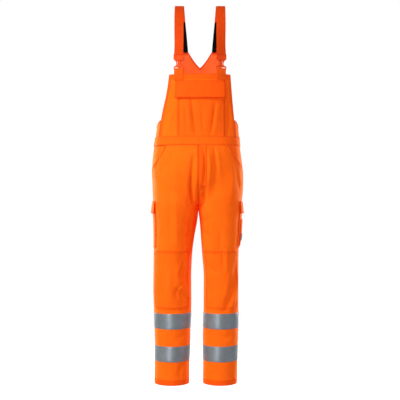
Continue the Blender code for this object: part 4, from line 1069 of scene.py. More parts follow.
# The cloth, the webbing and the acetal carry a painted red glow.
FINISHES = (
    Twill("fluorescent_twill", "#e46911", "#df620d", 0.85, 0.32, "#ffd47e", shine=0.05, painted_glow_and_paper_white=0.26),
    Twill(
        "fluorescent_twill_wrong_side", "#cf6230", "#ca5c2a", 0.9, 0.05, "#ffc49a", shine=0.06,
        painted_glow_and_paper_white=0.19, deep="#c8460f", seam="#a62c06", seam_shade_width=0.008,
    ),
    Webbing(
        "polyester_webbing", "#cc450c", "#c33f0a", 0.72, 0.06, "#ffb27a", shine=0.06, painted_glow_and_paper_white=0.14,
        lengthways=True,
    ),
    Webbing("tab_webbing", "#dd5a0f", "#d8560d", 0.8, 0.14, "#ffb27a", shine=0.06, painted_glow_and_paper_white=0.2),
    Webbing("woven_elastic", "#070404", "#0c0808", 0.88, 0.0, shine=0.05, lengthways=True),
    BeadTape("glass_bead_tape", "#8f979f", "#838b93", 0.4, metallic=0.66),
    Webbing("grey_tab_cloth", "#767a80", "#6b6f75", 0.75, 0.05, shine=0.2),
    Acetal("moulded_acetal", "#d0460c", "#c73f09", 0.62, shine=0.1, painted_glow_and_paper_white=0.14),
    Thread("orange_sewing_thread", "#e2480a", "#d84108", 0.6, 0.04, "#ffb27a", shine=0.2),
    Thread("strap_sewing_thread", "#cf3f08", "#c43906", 0.6, 0.04, "#ffb27a", shine=0.2),
    Thread("grey_sewing_thread", "#7f878d", "#737b81", 0.6, shine=0.3),
    Paper("studio_paper", "#868685", "#828281", 0.95, painted_glow_and_paper_white=0.82, painted_glow_and_paper_colour="#ffffff"),
)
THREAD_LIFT = 0.0001


@dataclass
class Lay:
    """Where the points of a panel's grid lie: on the figure and from the panel's edges."""

    z: Array
    turn: Array
    top: Array
    low: Array
    first: Array
    last: Array

    def edge(self, *sides: Side) -> Array:
        """Gives the distance to the nearest of the named edges, or of all four."""
        chosen = sides or tuple(Side)
        return np.minimum.reduce([getattr(self, side.value) for side in chosen])


@dataclass(frozen=True)
class Turned:
    """Edges that are turned under or lapped over a neighbour, and sewn down.

    The cloth stands proud by height over the width, and each number of rows is how far a row
    of stitches lies inside the edge. above is the lowest height that it reaches, ply how much
    deeper the doubled cloth is painted, partly as painted shade, line how dark and wide the
    painted shade along an edge is, and reach how far in that painted shade may come.
    """

    sides: tuple[Side, ...]
    width: float
    height: float
    rows: tuple[float, ...] = ()
    above: float = UNDER_ALL
    ply: float = 0.7
    line: float = 0.45
    reach: float = 0.003

    def share(self, lay: Lay) -> Array:
        """Gives 1 on the turned cloth and 0 off it."""
        near = 1.0 - smooth_step(self.width - 0.0015, self.width + 0.0015, lay.edge(*self.sides))
        return near * smooth_step(-0.01, 0.01, lay.z - self.above)


class Skin:
    """The grid of a piece of cloth: its face, its back and the normals between them."""

    def __init__(self, face: Array, back: Array, around: bool = False) -> None:
        """Keeps the grids.

        Args:
            face: The outer points; a tube's last column repeats its first.
            back: The inner points.
            around: Whether it is a tube.
        """
        self.face, self.back, self.around = face, back, around
        self.normals = unit(face - back)
        self.down, self.across = running(face, 0), running(face, 1)
        self.p = np.linspace(0.0, 1.0, face.shape[0])
        self.q = np.linspace(0.0, 1.0, face.shape[1])
        # No painted deeper colour yet, and the plain painted shade along every edge.
        self.layers = np.zeros(face.shape[:2])
        self.seam_shade = np.full(face.shape[:2], PLAIN_SEAM_SHADE)

    def read(self, p: Array, q: Array) -> Pair:
        """Gives points just over the face at shares down and across, and the normals.

        Args:
            p: Shares down.
            q: Shares across.

        Returns:
            The points and the normals.
        """
        row = np.clip(p, 0.0, 1.0) * (len(self.p) - 1)
        column = np.clip(q, 0.0, 1.0) * (len(self.q) - 1)
        i = np.minimum(row.astype(int), len(self.p) - 2)
        j = np.minimum(column.astype(int), len(self.q) - 2)
        s, t = (row - i)[..., None], (column - j)[..., None]
        normals = unit(between(self.normals, i, j, s, t))
        return between(self.face, i, j, s, t) + normals * THREAD_LIFT, normals

    def line(self, side: Side, inset: float, above: float = UNDER_ALL) -> Pair:
        """Gives a line inside one edge, for a row of stitches.

        Args:
            side: The edge that it follows.
            inset: Its distance from that edge and from the ends.
            above: The lowest height that it reaches.

        Returns:
            The points and the normals.
        """
        flat = side in (Side.TOP, Side.LOW)
        lengths = self.down if flat else self.across.T
        steps = self.p if flat else self.q
        other = self.q if flat else self.p
        far = side in (Side.LOW, Side.LAST)
        found = [np.interp(n[-1] - inset if far else inset, n, steps) for n in lengths.T]
        p, q = (np.array(found), other) if flat else (other, np.array(found))
        points, normals = self.read(p, q)
        length = running(points, 0)
        ends = 0.0 if self.around else min(inset, 0.01)
        keep = (length >= ends) & (length <= length[-1] - ends) & (points[:, 2] > above)
        return points[keep], normals[keep]

    def path(self, corners: Sequence[tuple[float, float]], steps: int = 8) -> Pair:
        """Gives a line over the face through corners that are shares down and across."""
        shares = np.concatenate([np.linspace(*ends, steps) for ends in zip(corners, corners[1:])])
        return self.read(shares[:, 0], shares[:, 1])


@dataclass
class Panel(Skin):
    """One cut of cloth laid on the figure.

    Its grid runs down from 0 to 1 and across from 0 to 1. place turns those shares into
    heights and turns, and out gives how far the cloth's face stands off the figure. plies is
    how much of it lies double, painted as a deeper colour; on flaps and bands that deeper
    colour is also painted shade.
    """

    ground: Ground
    place: Place
    rows: int
    columns: int
    out: Callable[[Lay], Array] = field(default=lambda lay: np.zeros(lay.z.shape))
    turned: tuple[Turned, ...] = ()
    thick: float = CLOTH
    plies: float = 0.0
    around: bool = False

    def __post_init__(self) -> None:
        """Lays the grid."""
        columns = self.columns + 1 if self.around else self.columns
        steps = np.linspace(0.0, 1.0, self.rows), np.linspace(0.0, 1.0, columns)
        z, turn = self.place(*np.meshgrid(*steps, indexing="ij"))
        plain = self.ground.point(z, turn)
        down, across = running(plain, 0), running(plain, 1)
        lay = Lay(z, turn, down, down[-1:] - down, across, across[:, -1:] - across)
        # The deeper colour of doubled cloth is painted, partly as painted shade.
        raised, layers = np.zeros(z.shape), np.full(z.shape, self.plies)
        # Painted shade along the edges, stronger along the turned edges that ask for it.
        seam_shade = np.full(z.shape, PLAIN_SEAM_SHADE)
        for turned in self.turned:
            share = turned.share(lay)
            near = 1.0 - smooth_step(turned.reach, turned.reach + 0.002, lay.edge(*turned.sides))
            seam_shade = seam_shade + (turned.line - seam_shade) * near
            raised = np.maximum(raised, turned.height * share)
            layers = np.maximum(layers, turned.ply * share)
        face, normals = self.ground.lay(z, turn, self.out(lay) + raised)
        super().__init__(face, face - normals * self.thick, self.around)
        self.layers, self.seam_shade = layers, seam_shade

    def seams(self) -> list[Pair]:
        """Gives the rows of stitches along the turned edges.

        Returns:
            The points and normals of each row.
        """
        return [
            self.line(side, inset, turned.above)
            for turned in self.turned
            for side in turned.sides
            for inset in turned.rows
        ]


@dataclass(frozen=True)
class Cut:
    """What a piece is cut to, what it is made of and what it lies on."""

    node: str
    flat: tuple[float, float]
    area: float | None = None
    face: str = "fluorescent_twill"
    back: str = "fluorescent_twill_wrong_side"
    slot: str = "orange_cloth"
    held: Hold = Hold.HUNG
    rests_on: tuple[str, ...] = ()


class Workshop:
    def __init__(self, nodes: dict[str, Thing]) -> None:
        """Makes the finishes.

        Args:
            nodes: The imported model's objects by name.
        """
        self.nodes = nodes
        self.finishes = {finish.name: finish.make() for finish in FINISHES}
        self.cloths: dict[str, Thing] = {}
        self.needlework = Needlework()

    def add(self, cut: Cut, skin: Skin, seams: str = "", thread: str = "orange_sewing_thread") -> None:
        """Makes a closed thin shell between the face and the back of a piece of cloth.

        Args:
            cut: The piece.
            skin: Its grid.
            seams: The group of sewing that its own seams join, if it has any.
            thread: Their thread's finish.
        """
        face, back, around = skin.face, skin.back, skin.around
        rows, columns = face.shape[0], face.shape[1]
        real = columns - 1 if around else columns
        far = rows * real
        number = np.arange(far).reshape(rows, real)
        plane = np.stack((skin.across - 0.5 * skin.across[:, -1:], -skin.down), axis=-1)

        def pick(i: Array | int, j: Array | int) -> Pair:
            """Gives the numbers and the plane places of grid points."""
            i, j = np.broadcast_arrays(i, j)
            return number[i, j % real], plane[i, j]

        row, column = (index.ravel() for index in np.indices((rows - 1, columns - 1)))
        corners = [(row, column), (row, column + 1), (row + 1, column + 1), (row + 1, column)]
        skins = [pick(i, j) for i, j in corners]
        faces = [np.stack([n for n, _ in skins], 1), np.stack([n + far for n, _ in skins[::-1]], 1)]
        places = [np.stack([p for _, p in skins], 1), np.stack([p for _, p in skins[::-1]], 1)]
        kinds = [np.zeros(len(row), int), np.ones(len(row), int)]
        edges_i, edges_j = np.arange(columns - 1), np.arange(rows - 1)
        rims = [((0, edges_i), (0, edges_i + 1)), ((rows - 1, edges_i + 1), (rows - 1, edges_i))]
        if not around:
            rims += [((edges_j + 1, 0), (edges_j, 0)), ((edges_j, real - 1), (edges_j + 1, real - 1))]
        for start, end in rims:
            (n0, p0), (n1, p1) = pick(*start), pick(*end)
            faces.append(np.stack((n1, n0, n0 + far, n1 + far), 1))
            places.append(np.stack((p1, p0, p0, p1), 1))
            kinds.append(np.zeros(len(n0), int))
        faces, places, kinds = np.concatenate(faces), np.concatenate(places), np.concatenate(kinds)
        middle = rows // 2, columns // 2
        here = face[middle[0], middle[1] + 1] - face[middle]
        down = face[middle[0] + 1, middle[1]] - face[middle]
        if np.dot(np.cross(here, down), face[middle] - back[middle]) < 0.0:
            faces, places = faces[:, ::-1], places[:, ::-1]
        points = np.concatenate((face[:, :real].reshape(-1, 3), back[:, :real].reshape(-1, 3)))
        mesh = bpy.data.meshes.new(f"{cut.node}_cloth")
        mesh.from_pydata(points.tolist(), [], faces.tolist())
        layer = mesh.uv_layers.new(name="cloth")
        layer.data.foreach_set("uv", np.ascontiguousarray(places, np.float32).ravel())
        mesh.materials.append(self.finishes[cut.face])
        mesh.materials.append(self.finishes[cut.back])
        mesh.polygons.foreach_set("material_index", kinds.astype(np.int32))
        near = np.minimum(skin.down, skin.down[-1:] - skin.down)
        if not around:
            near = np.minimum(near, np.minimum(skin.across, skin.across[:, -1:] - skin.across))
        # The edge distance, the painted deeper colour and the painted edge shade go to the material.
        for name, grid in (("edge", near), ("layers", skin.layers), ("seam_shade", skin.seam_shade)):
            values = np.tile(grid[:, :real].ravel(), 2)
            made = mesh.attributes.new(name, "FLOAT", "POINT")
            made.data.foreach_set("value", values.astype(np.float32))
        mesh.update()
        mesh.shade_smooth()
        mesh.set_sharp_from_angle(angle=SMOOTH_ANGLE)
        thing = bpy.data.objects.new(f"{cut.node}_cloth", mesh)
        bpy.context.scene.collection.objects.link(thing)
        self.declare(cut, thing)
        width, length = float(skin.across[:, -1].mean()), float(skin.down[-1].mean())
        log.info("%s: %d faces, %.3f x %.3f m", thing.name, len(faces), width, length)
        if seams:
            self.needlework.sew(seams, skin.seams(), thread)

    def declare(self, cut: Cut, thing: Thing) -> None:
        """Args:
            cut: The piece.
            thing: Its object.
        """
        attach(thing, "root")
        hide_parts(cut.node)
        self.cloths[cut.node] = thing


class Sewing(Enum):
    """The kinds of sewing: a plain row, or the dense crosswise stitches of a bartack."""

    ROW = "rows"
    TACK = "tacks"


@dataclass
class Needlework:
    """The sewing, gathered as lines over the cloth and made as stitches by Geometry Nodes."""

    pitch: float = 0.0032
    length: float = 0.0025
    width: float = 0.0008
    height: float = 0.0007
    tack_pitch: float = 0.0008
    tack_length: float = 0.0022
    lines: dict = field(default_factory=dict)

    def sew(
        self, group: str, seams: Sequence[Pair], thread: str = "orange_sewing_thread",
        kind: Sewing = Sewing.ROW,
    ) -> None:
        """Adds rows to a group, which becomes one piece.

        Args:
            group: The name of the group.
            seams: The rows, each its points and normals.
            thread: The thread's finish.
            kind: The kind of sewing.
        """
        self.lines.setdefault((group, kind, thread), []).extend(seams)

    def tree(self) -> Tree:
        """Makes the node tree that turns lines into stitches.

        Returns:
            The node tree.
        """
        tree = bpy.data.node_groups.new("stitches_along_lines", "GeometryNodeTree")
        sockets = tree.interface
        sockets.new_socket("Lines", in_out="INPUT", socket_type="NodeSocketGeometry")
        for name in ("Pitch", "Length", "Width", "Height", "Turn"):
            sockets.new_socket(name, in_out="INPUT", socket_type="NodeSocketFloat")
        sockets.new_socket("Seed", in_out="INPUT", socket_type="NodeSocketInt")
        sockets.new_socket("Thread", in_out="INPUT", socket_type="NodeSocketMaterial")
        sockets.new_socket("Stitches", in_out="OUTPUT", socket_type="NodeSocketGeometry")
        given = add_node(tree, "NodeGroupInput").outputs
        curve = add_node(tree, "GeometryNodeMeshToCurve", links={"Mesh": given["Lines"]})
        spaced = add_node(
            tree, "GeometryNodeResampleCurve", {"mode": "LENGTH"},
            {"Curve": curve, "Length": given["Pitch"]},
        )
        tangent = add_node(tree, "GeometryNodeInputTangent")
        outward = add_node(
            tree, "GeometryNodeInputNamedAttribute", {"data_type": "FLOAT_VECTOR", "Name": "outward"}
        )
        along = add_node(tree, "FunctionNodeAlignRotationToVector", {"axis": "Z"}, {"Vector": tangent})
        upright = add_node(
            tree, "FunctionNodeAlignRotationToVector", {"axis": "X", "pivot_axis": "Z"},
            {"Rotation": along, "Vector": outward},
        )
        wander = add_node(
            tree, "FunctionNodeRandomValue", {"data_type": "FLOAT", 2: -0.1, 3: 0.1},
            {"Seed": given["Seed"]},
        )
        angle = add_node(
            tree, "ShaderNodeMath", {"operation": "ADD"}, {0: given["Turn"], 1: wander.outputs[1]}
        )
        about = add_node(
            tree, "FunctionNodeAxisAngleToRotation", {"Axis": (1.0, 0.0, 0.0)}, {"Angle": angle}
        )
        turned = add_node(
            tree, "FunctionNodeRotateRotation", {"rotation_space": "LOCAL"},
            {"Rotation": upright, "Rotate By": about},
        )
        size = add_node(
            tree, "ShaderNodeCombineXYZ",
            links={"X": given["Height"], "Y": given["Width"], "Z": given["Length"]},
        )
        stitch = add_node(tree, "GeometryNodeMeshUVSphere", {"Segments": 4, "Rings": 3, "Radius": 0.5})
        smooth = add_node(tree, "GeometryNodeSetShadeSmooth", links={0: stitch})
        placed = add_node(
            tree, "GeometryNodeInstanceOnPoints",
            links={"Points": spaced, "Instance": smooth, "Rotation": turned, "Scale": size},
        )
        real = add_node(tree, "GeometryNodeRealizeInstances", links={0: placed})
        painted = add_node(
            tree, "GeometryNodeSetMaterial", links={"Geometry": real, "Material": given["Thread"]}
        )
        add_node(tree, "NodeGroupOutput", links={0: painted})
        return tree

    def build(self, finishes: dict[str, Material]) -> None:
        """Makes a piece of stitches of each group.

        Args:
            finishes: The materials by name.
        """
        tree = self.tree()
        for seed, ((group, kind, thread), seams) in enumerate(self.lines.items()):
            is_row = kind is Sewing.ROW
            values = {
                "Pitch": self.pitch if is_row else self.tack_pitch,
                "Length": self.length if is_row else self.tack_length,
                "Width": self.width if is_row else 0.8 * self.width, "Height": self.height,
                "Turn": 0.0 if is_row else 0.5 * math.pi, "Seed": seed, "Thread": finishes[thread],
            }
            points, normals, edges = [], [], []
            for line, outward in seams:
                if len(line) > 1:
                    edges += [(len(points) + i, len(points) + i + 1) for i in range(len(line) - 1)]
                    points += line.tolist()
                    normals += outward.tolist()
            name = f"{group}_{kind.value}"
            mesh = bpy.data.meshes.new(name)
            mesh.from_pydata(points, edges, [])
            made = mesh.attributes.new("outward", "FLOAT_VECTOR", "POINT")
            made.data.foreach_set("vector", np.array(normals, np.float32).ravel())
            thing = bpy.data.objects.new(name, mesh)
            bpy.context.scene.collection.objects.link(thing)
            modifier = thing.modifiers.new("stitches", "NODES")
            modifier.node_group = tree
            for socket in tree.interface.items_tree:
                if socket.in_out == "INPUT" and socket.name in values:
                    modifier[socket.identifier] = values[socket.name]
            seen = thing.evaluated_get(bpy.context.evaluated_depsgraph_get())
            stitches = bpy.data.meshes.new_from_object(seen)
            thing.modifiers.remove(modifier)
            thing.data = stitches
            stitches.name = name
            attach(thing, "root")
            log.info("%s: %d faces", name, len(stitches.polygons))


def bulge(z: Array, turn: Array, pocket: Region, height: float) -> Array:
    """Gives a pocket's fullness: none along its sewn edges and its full height inside.

    Args:
        z: Heights.
        turn: Turns.
        pocket: Its top, low end, first turn and last turn.
        height: The full height, in metres.

    Returns:
        How far the cloth rises at each point.
    """
    top, low, first, last = pocket
    down = np.clip((z - top) / (low - top), 0.0, 1.0)
    across = np.clip((turn - first) / (last - first), 0.0, 1.0)
    return height * (np.sin(math.pi * down) * np.sin(math.pi * across)) ** 0.5


PATCH = (Side.LOW, Side.FIRST, Side.LAST)
# A flap's low and last edges carry a wide, dark painted shadow.
FLAP_EDGES = (
    Turned((Side.TOP,), 0.008, 0.0, (0.002, 0.008), line=0.15),
    Turned((Side.FIRST,), 0.008, 0.0006, (0.002, 0.008), line=0.5),
    Turned((Side.LOW, Side.LAST), 0.008, 0.0006, (0.002, 0.008), line=1.2, reach=0.008),
)


@dataclass
class Bib:
    """The bib: its front panel, the pocket patch and the flap over the pocket's mouth."""

    shop: Workshop
    figure: Figure
    ground: Ground
    middle: float = 0.004
    pocket_half: float = 0.1005
    pocket_share: float = 0.6
    pocket_top: float = -0.352
    flap_top: float = -0.342
    flap_low: float = -0.418
    flap_right: float = -0.1015
    flap_lift: float = 0.0068

    def turn(self, z: Array, u: Array) -> Array:
        """Gives the body's turn at a share u from -1 to 1 across the bib.

        Args:
            z: Heights.
            u: Shares across, from -1 to 1.

        Returns:
            The turns.
        """
        edges = self.figure.bib_edges.at(z)
        edge = np.where(u < 0.0, edges[..., 0], edges[..., 1])
        pocket = self.middle + np.sign(u) * self.pocket_half
        part = (np.abs(u) - self.pocket_share) / (1.0 - self.pocket_share)
        inside = self.middle + self.pocket_half * u / self.pocket_share
        x = np.where(np.abs(u) <= self.pocket_share, inside, pocket + (edge - pocket) * part)
        return self.figure.body_turn(z, x)

    def share(self, x: float) -> float:
        """Gives the share u across the bib's top edge at a given x.

        Args:
            x: The place across.

        Returns:
            The share.
        """
        right, left = self.figure.bib_edges.at(BIB_TOP_Z)
        offset = x - self.middle
        if abs(offset) <= self.pocket_half:
            return self.pocket_share * offset / self.pocket_half
        edge = abs((right if offset < 0.0 else left) - self.middle)
        part = (abs(offset) - self.pocket_half) / (edge - self.pocket_half)
        return math.copysign(self.pocket_share + (1.0 - self.pocket_share) * part, offset)

    def region(self, top: float, low: float, first: float, last: float) -> Place:
        """Gives the place function of a part of the bib.

        Args:
            top: Its top.
            low: Its low end.
            first: Its first share or turn.
            last: Its last share or turn.

        Returns:
            The function.
        """

        def place(p: Array, q: Array) -> Pair:
            """Turns shares of the part into heights and turns."""
            z = top + (low - top) * p
            return z, self.turn(z, first + (last - first) * q)

        return place

    def build(self) -> None:
        """Makes the three pieces and their sewing."""
        low, half = WAIST_TOP_Z + SEAM_GAP, self.pocket_share
        edges = (
            # Painted shade along the bib's top and side edges.
            Turned((Side.TOP,), 0.022, 0.0012, (0.003, 0.02), line=0.6),
            Turned((Side.FIRST, Side.LAST), 0.014, 0.001, (0.003, 0.012), line=0.9),
        )
        front = Panel(self.ground, self.region(BIB_TOP_Z, low, -1.0, 1.0), 90, 124, turned=edges)
        self.shop.add(Cut("bib_front", (0.345, 0.267), 0.087), front, "bib_seams")

        place = self.region(self.pocket_top, low, -half, half)
        edges = (Turned((Side.FIRST,), 0.009, 0.0007, (0.002, 0.0075), line=0.45),)
        # A darker, wider painted shadow along the pocket's last edge.
        edges += (Turned((Side.LAST,), 0.009, 0.0007, (0.002, 0.0075), line=1.1, reach=0.006),)
        pocket = Panel(self.ground, place, 80, 82, self.pocket_out, edges, plies=0.45)
        self.shop.add(Cut("bib_pocket", (0.211, 0.227), rests_on=("bib_front",)), pocket, "bib_seams")

        place = self.region(self.flap_top, self.flap_low, self.share(self.flap_right), half)
        flap = Panel(self.ground, place, 26, 60, self.flap_out, FLAP_EDGES, DOUBLE_CLOTH, 0.9)
        cut = Cut("bib_flap", (0.22, 0.077), back="fluorescent_twill", rests_on=("bib_pocket",))
        self.shop.add(cut, flap, "bib_seams")

        tacks = [flap.path(((0.03, q - 0.028), (0.03, q + 0.028))) for q in (0.035, 0.965)]
        tacks += [pocket.path(((p, q), (p + 0.045, q))) for q in (0.022, 0.978) for p in (0.31,)]
        self.shop.needlework.sew("bib_seams", tacks, kind=Sewing.TACK)

    def pocket_out(self, lay: Lay) -> Array:
        """Gives how far the pocket's face stands off: a little full inside its seams."""
        return LAY_GAP + CLOTH + 0.0014 * smooth_step(0.004, 0.03, lay.edge(*PATCH))

    def flap_out(self, lay: Lay) -> Array:
        """Gives how far the flap's face stands off: it lifts towards its free lower corners.

        Args:
            lay: Where the grid's points lie.

        Returns:
            The distances.
        """
        down = (lay.z - self.flap_top) / (self.flap_low - self.flap_top)
        corner = 1.0 - smooth_step(0.0, 0.075, lay.last)
        base = 2.0 * LAY_GAP + CLOTH + DOUBLE_CLOTH + 0.0012
        return base + self.flap_lift * down * (0.7 + 0.3 * corner)


@dataclass
class BackPanel:
    """The back panel, from the waistband to a V neck between the two strap ends."""

    shop: Workshop
    figure: Figure
    ground: Ground
    neck_half: float = 0.052
    strap_end_x: float = 0.093
    armhole_z: float = -0.53
    armhole_turn: float = 0.03
    armhole_low: float = -0.535
    wing_rise: float = 0.052
    wing_starts: float = 0.72

    def wing_lift(self, z: Array, u: Array | float) -> Array:
        """Gives how far the panel rises past the side, where it meets the bib's edge.

        Args:
            z: Heights.
            u: Shares across, from -1 to 1.

        Returns:
            The rises in metres.
        """
        low = WAIST_TOP_Z + SEAM_GAP
        meets = self.armhole_z - self.armhole_turn
        rising = smooth_step(0.0, 1.0, (self.armhole_low - z) / (self.armhole_low - meets))
        share = np.where(z >= meets, rising, (z - low) / (meets - low))
        return self.wing_rise * share * smooth_step(self.wing_starts, 1.0, np.abs(u))

    def reach(self, z: Array, edge_z: Array, u: Array) -> Array:
        """Gives the panel's half width, as a share of the way round to the side.

        Args:
            z: Heights.
            edge_z: Heights of the same rows at the panel's edge.
            u: Shares across, from -1 to 1.

        Returns:
            The half widths in turns.
        """
        right, left = np.moveaxis(self.figure.bib_edges.at(edge_z), -1, 0)
        meets_right = 2.0 - np.abs(self.figure.body_turn(edge_z, right)) - 2.0 * SEAM_TURN
        meets_left = 2.0 - np.abs(self.figure.body_turn(edge_z, left)) - 2.0 * SEAM_TURN
        meets = np.where(u > 0.0, meets_right, meets_left)
        free = self.figure.back_edges.at(z)[..., 0]
        return free + (meets - free) * smooth_step(0.0, 1.0, (self.armhole_z - z) / self.armhole_turn)

    def place(self, p: Array, q: Array) -> Pair:
        """Turns shares of the panel into heights and turns.

        Args:
            p: Shares down.
            q: Shares across.

        Returns:
            The heights and the turns.
        """
        low = WAIST_TOP_Z + SEAM_GAP
        u = 1.0 - 2.0 * q
        across = np.minimum(np.abs(u) * self.strap_end_x / self.neck_half, 1.0)
        top = V_NECK_Z + (BACK_TOP_Z - V_NECK_Z) * across**1.15
        z = top + (low - top) * (1.0 - (1.0 - p) ** 1.35)
        edge_z = z + self.wing_lift(z, 1.0)
        reach = np.empty(z.shape)
        for j in range(z.shape[1]):
            column = (grid[:, j : j + 1] for grid in (z, edge_z, u))
            reach[:, j] = self.reach(*column)[:, 0]
        return z + self.wing_lift(z, u), 2.0 + u * reach

    def build(self) -> None:
        """Makes the panel, with the hems of its neck and armholes."""
        edges = (
            # A strong, wide painted shade along the neck's edge.
            Turned((Side.TOP,), 0.012, 0.001, (0.002, 0.01), line=1.4, reach=0.014),
            Turned((Side.FIRST, Side.LAST), 0.012, 0.001, (0.002, 0.01), line=0.7),
        )
        panel = Panel(self.ground, self.place, 116, 97, turned=edges)
        self.shop.add(Cut("bib_back", (0.49, 0.39), 0.138), panel, "back_seams")


@dataclass
class Waistband:
    """The waistband: a plain front and an elastic back, gathered between its rows of stitches."""

    shop: Workshop
    figure: Figure
    ground: Ground
    proud: float = 0.0014
    thick: float = 0.003
    ribs: int = 48
    rib_depth: float = 0.0014
    lap_turn: float = -0.006
    rows_down: tuple[float, ...] = (0.0095, 0.019)

    def build(self) -> None:
        """Makes the two bands and their sewing."""
        middle = 0.5 * (WAIST_TOP_Z + WAIST_LOW_Z)
        right, left = self.figure.bib_edges.at(middle)
        turns = self.figure.body_turn(np.full((1, 2), middle), np.array([[right, left]]))[0]
        first, last = float(turns[0]), float(turns[1])
        place = self.region(first, last)
        edges = (Turned((Side.TOP, Side.LOW), 0.004, 0.0, (0.0022,), line=0.25),)
        front = Panel(self.ground, place, 13, 120, self.front_out, edges, self.thick, 0.35)
        cut = Cut("waistband_front", (0.38, 0.038), back="fluorescent_twill")
        self.shop.add(cut, front, "waistband_seams")
        place = self.region(last + 2.0 * SEAM_TURN, 4.0 + first - 2.0 * SEAM_TURN)
        edges = (Turned((Side.TOP, Side.LOW), 0.001, 0.0, (0.0022, 0.0095)),)
        edges += (Turned((Side.TOP,), 0.001, 0.0, (0.019,)),)
        back = Panel(self.ground, place, 15, self.ribs * 8 + 1, self.gathers, edges, self.thick)
        cut = Cut("waistband_back", (0.78, 0.038), back="fluorescent_twill", held=Hold.GATHERED)
        self.shop.add(cut, back, "waistband_seams")
        self.shop.needlework.sew("waistband_seams", [front.path(((0.1, 0.5), (0.9, 0.5)))])

    @staticmethod
    def region(first: float, last: float) -> Place:
        """Gives the place function of a stretch of the band."""
        drop = WAIST_LOW_Z - WAIST_TOP_Z
        return lambda p, q: (WAIST_TOP_Z + drop * p, first + (last - first) * q)

    def front_out(self, lay: Lay) -> Array:
        """Gives the front band's form, whose right end laps over its left end at the middle.

        Args:
            lay: Where the grid's points lie.

        Returns:
            The distances.
        """
        lapped = 1.0 - smooth_step(-0.006, 0.006, lay.turn - self.lap_turn)
        ridge = np.clip(1.0 - np.abs(lay.turn - self.lap_turn) / 0.22, 0.0, 1.0) ** 1.5
        rolled = smooth_step(0.0, 0.005, lay.edge(Side.TOP, Side.LOW))
        return self.proud + 0.0008 * rolled + 0.001 * lapped + 0.0016 * ridge

    def gathers(self, lay: Lay) -> Array:
        """Gives the gathered band's form: uneven ribs, pinched at its rows of stitches.

        Args:
            lay: Where the grid's points lie.

        Returns:
            The distances.
        """
        share = lay.first / (lay.first + lay.last)
        wander = 0.35 * np.sin(share * 41.0) + 0.25 * np.sin(share * 97.0 + lay.top * 90.0)
        wave = np.cos(2.0 * math.pi * (self.ribs * share) + wander)
        height = 0.55 + 0.45 * np.sin(share * 63.0 + 1.3)
        near = [np.abs(lay.top - down) for down in self.rows_down] + [np.abs(lay.low - 0.0095)]
        pinch = 0.45 + 0.55 * smooth_step(0.0, 0.004, np.minimum.reduce(near))
        return self.proud + self.rib_depth * (0.25 + height * wave * 0.75) * pinch


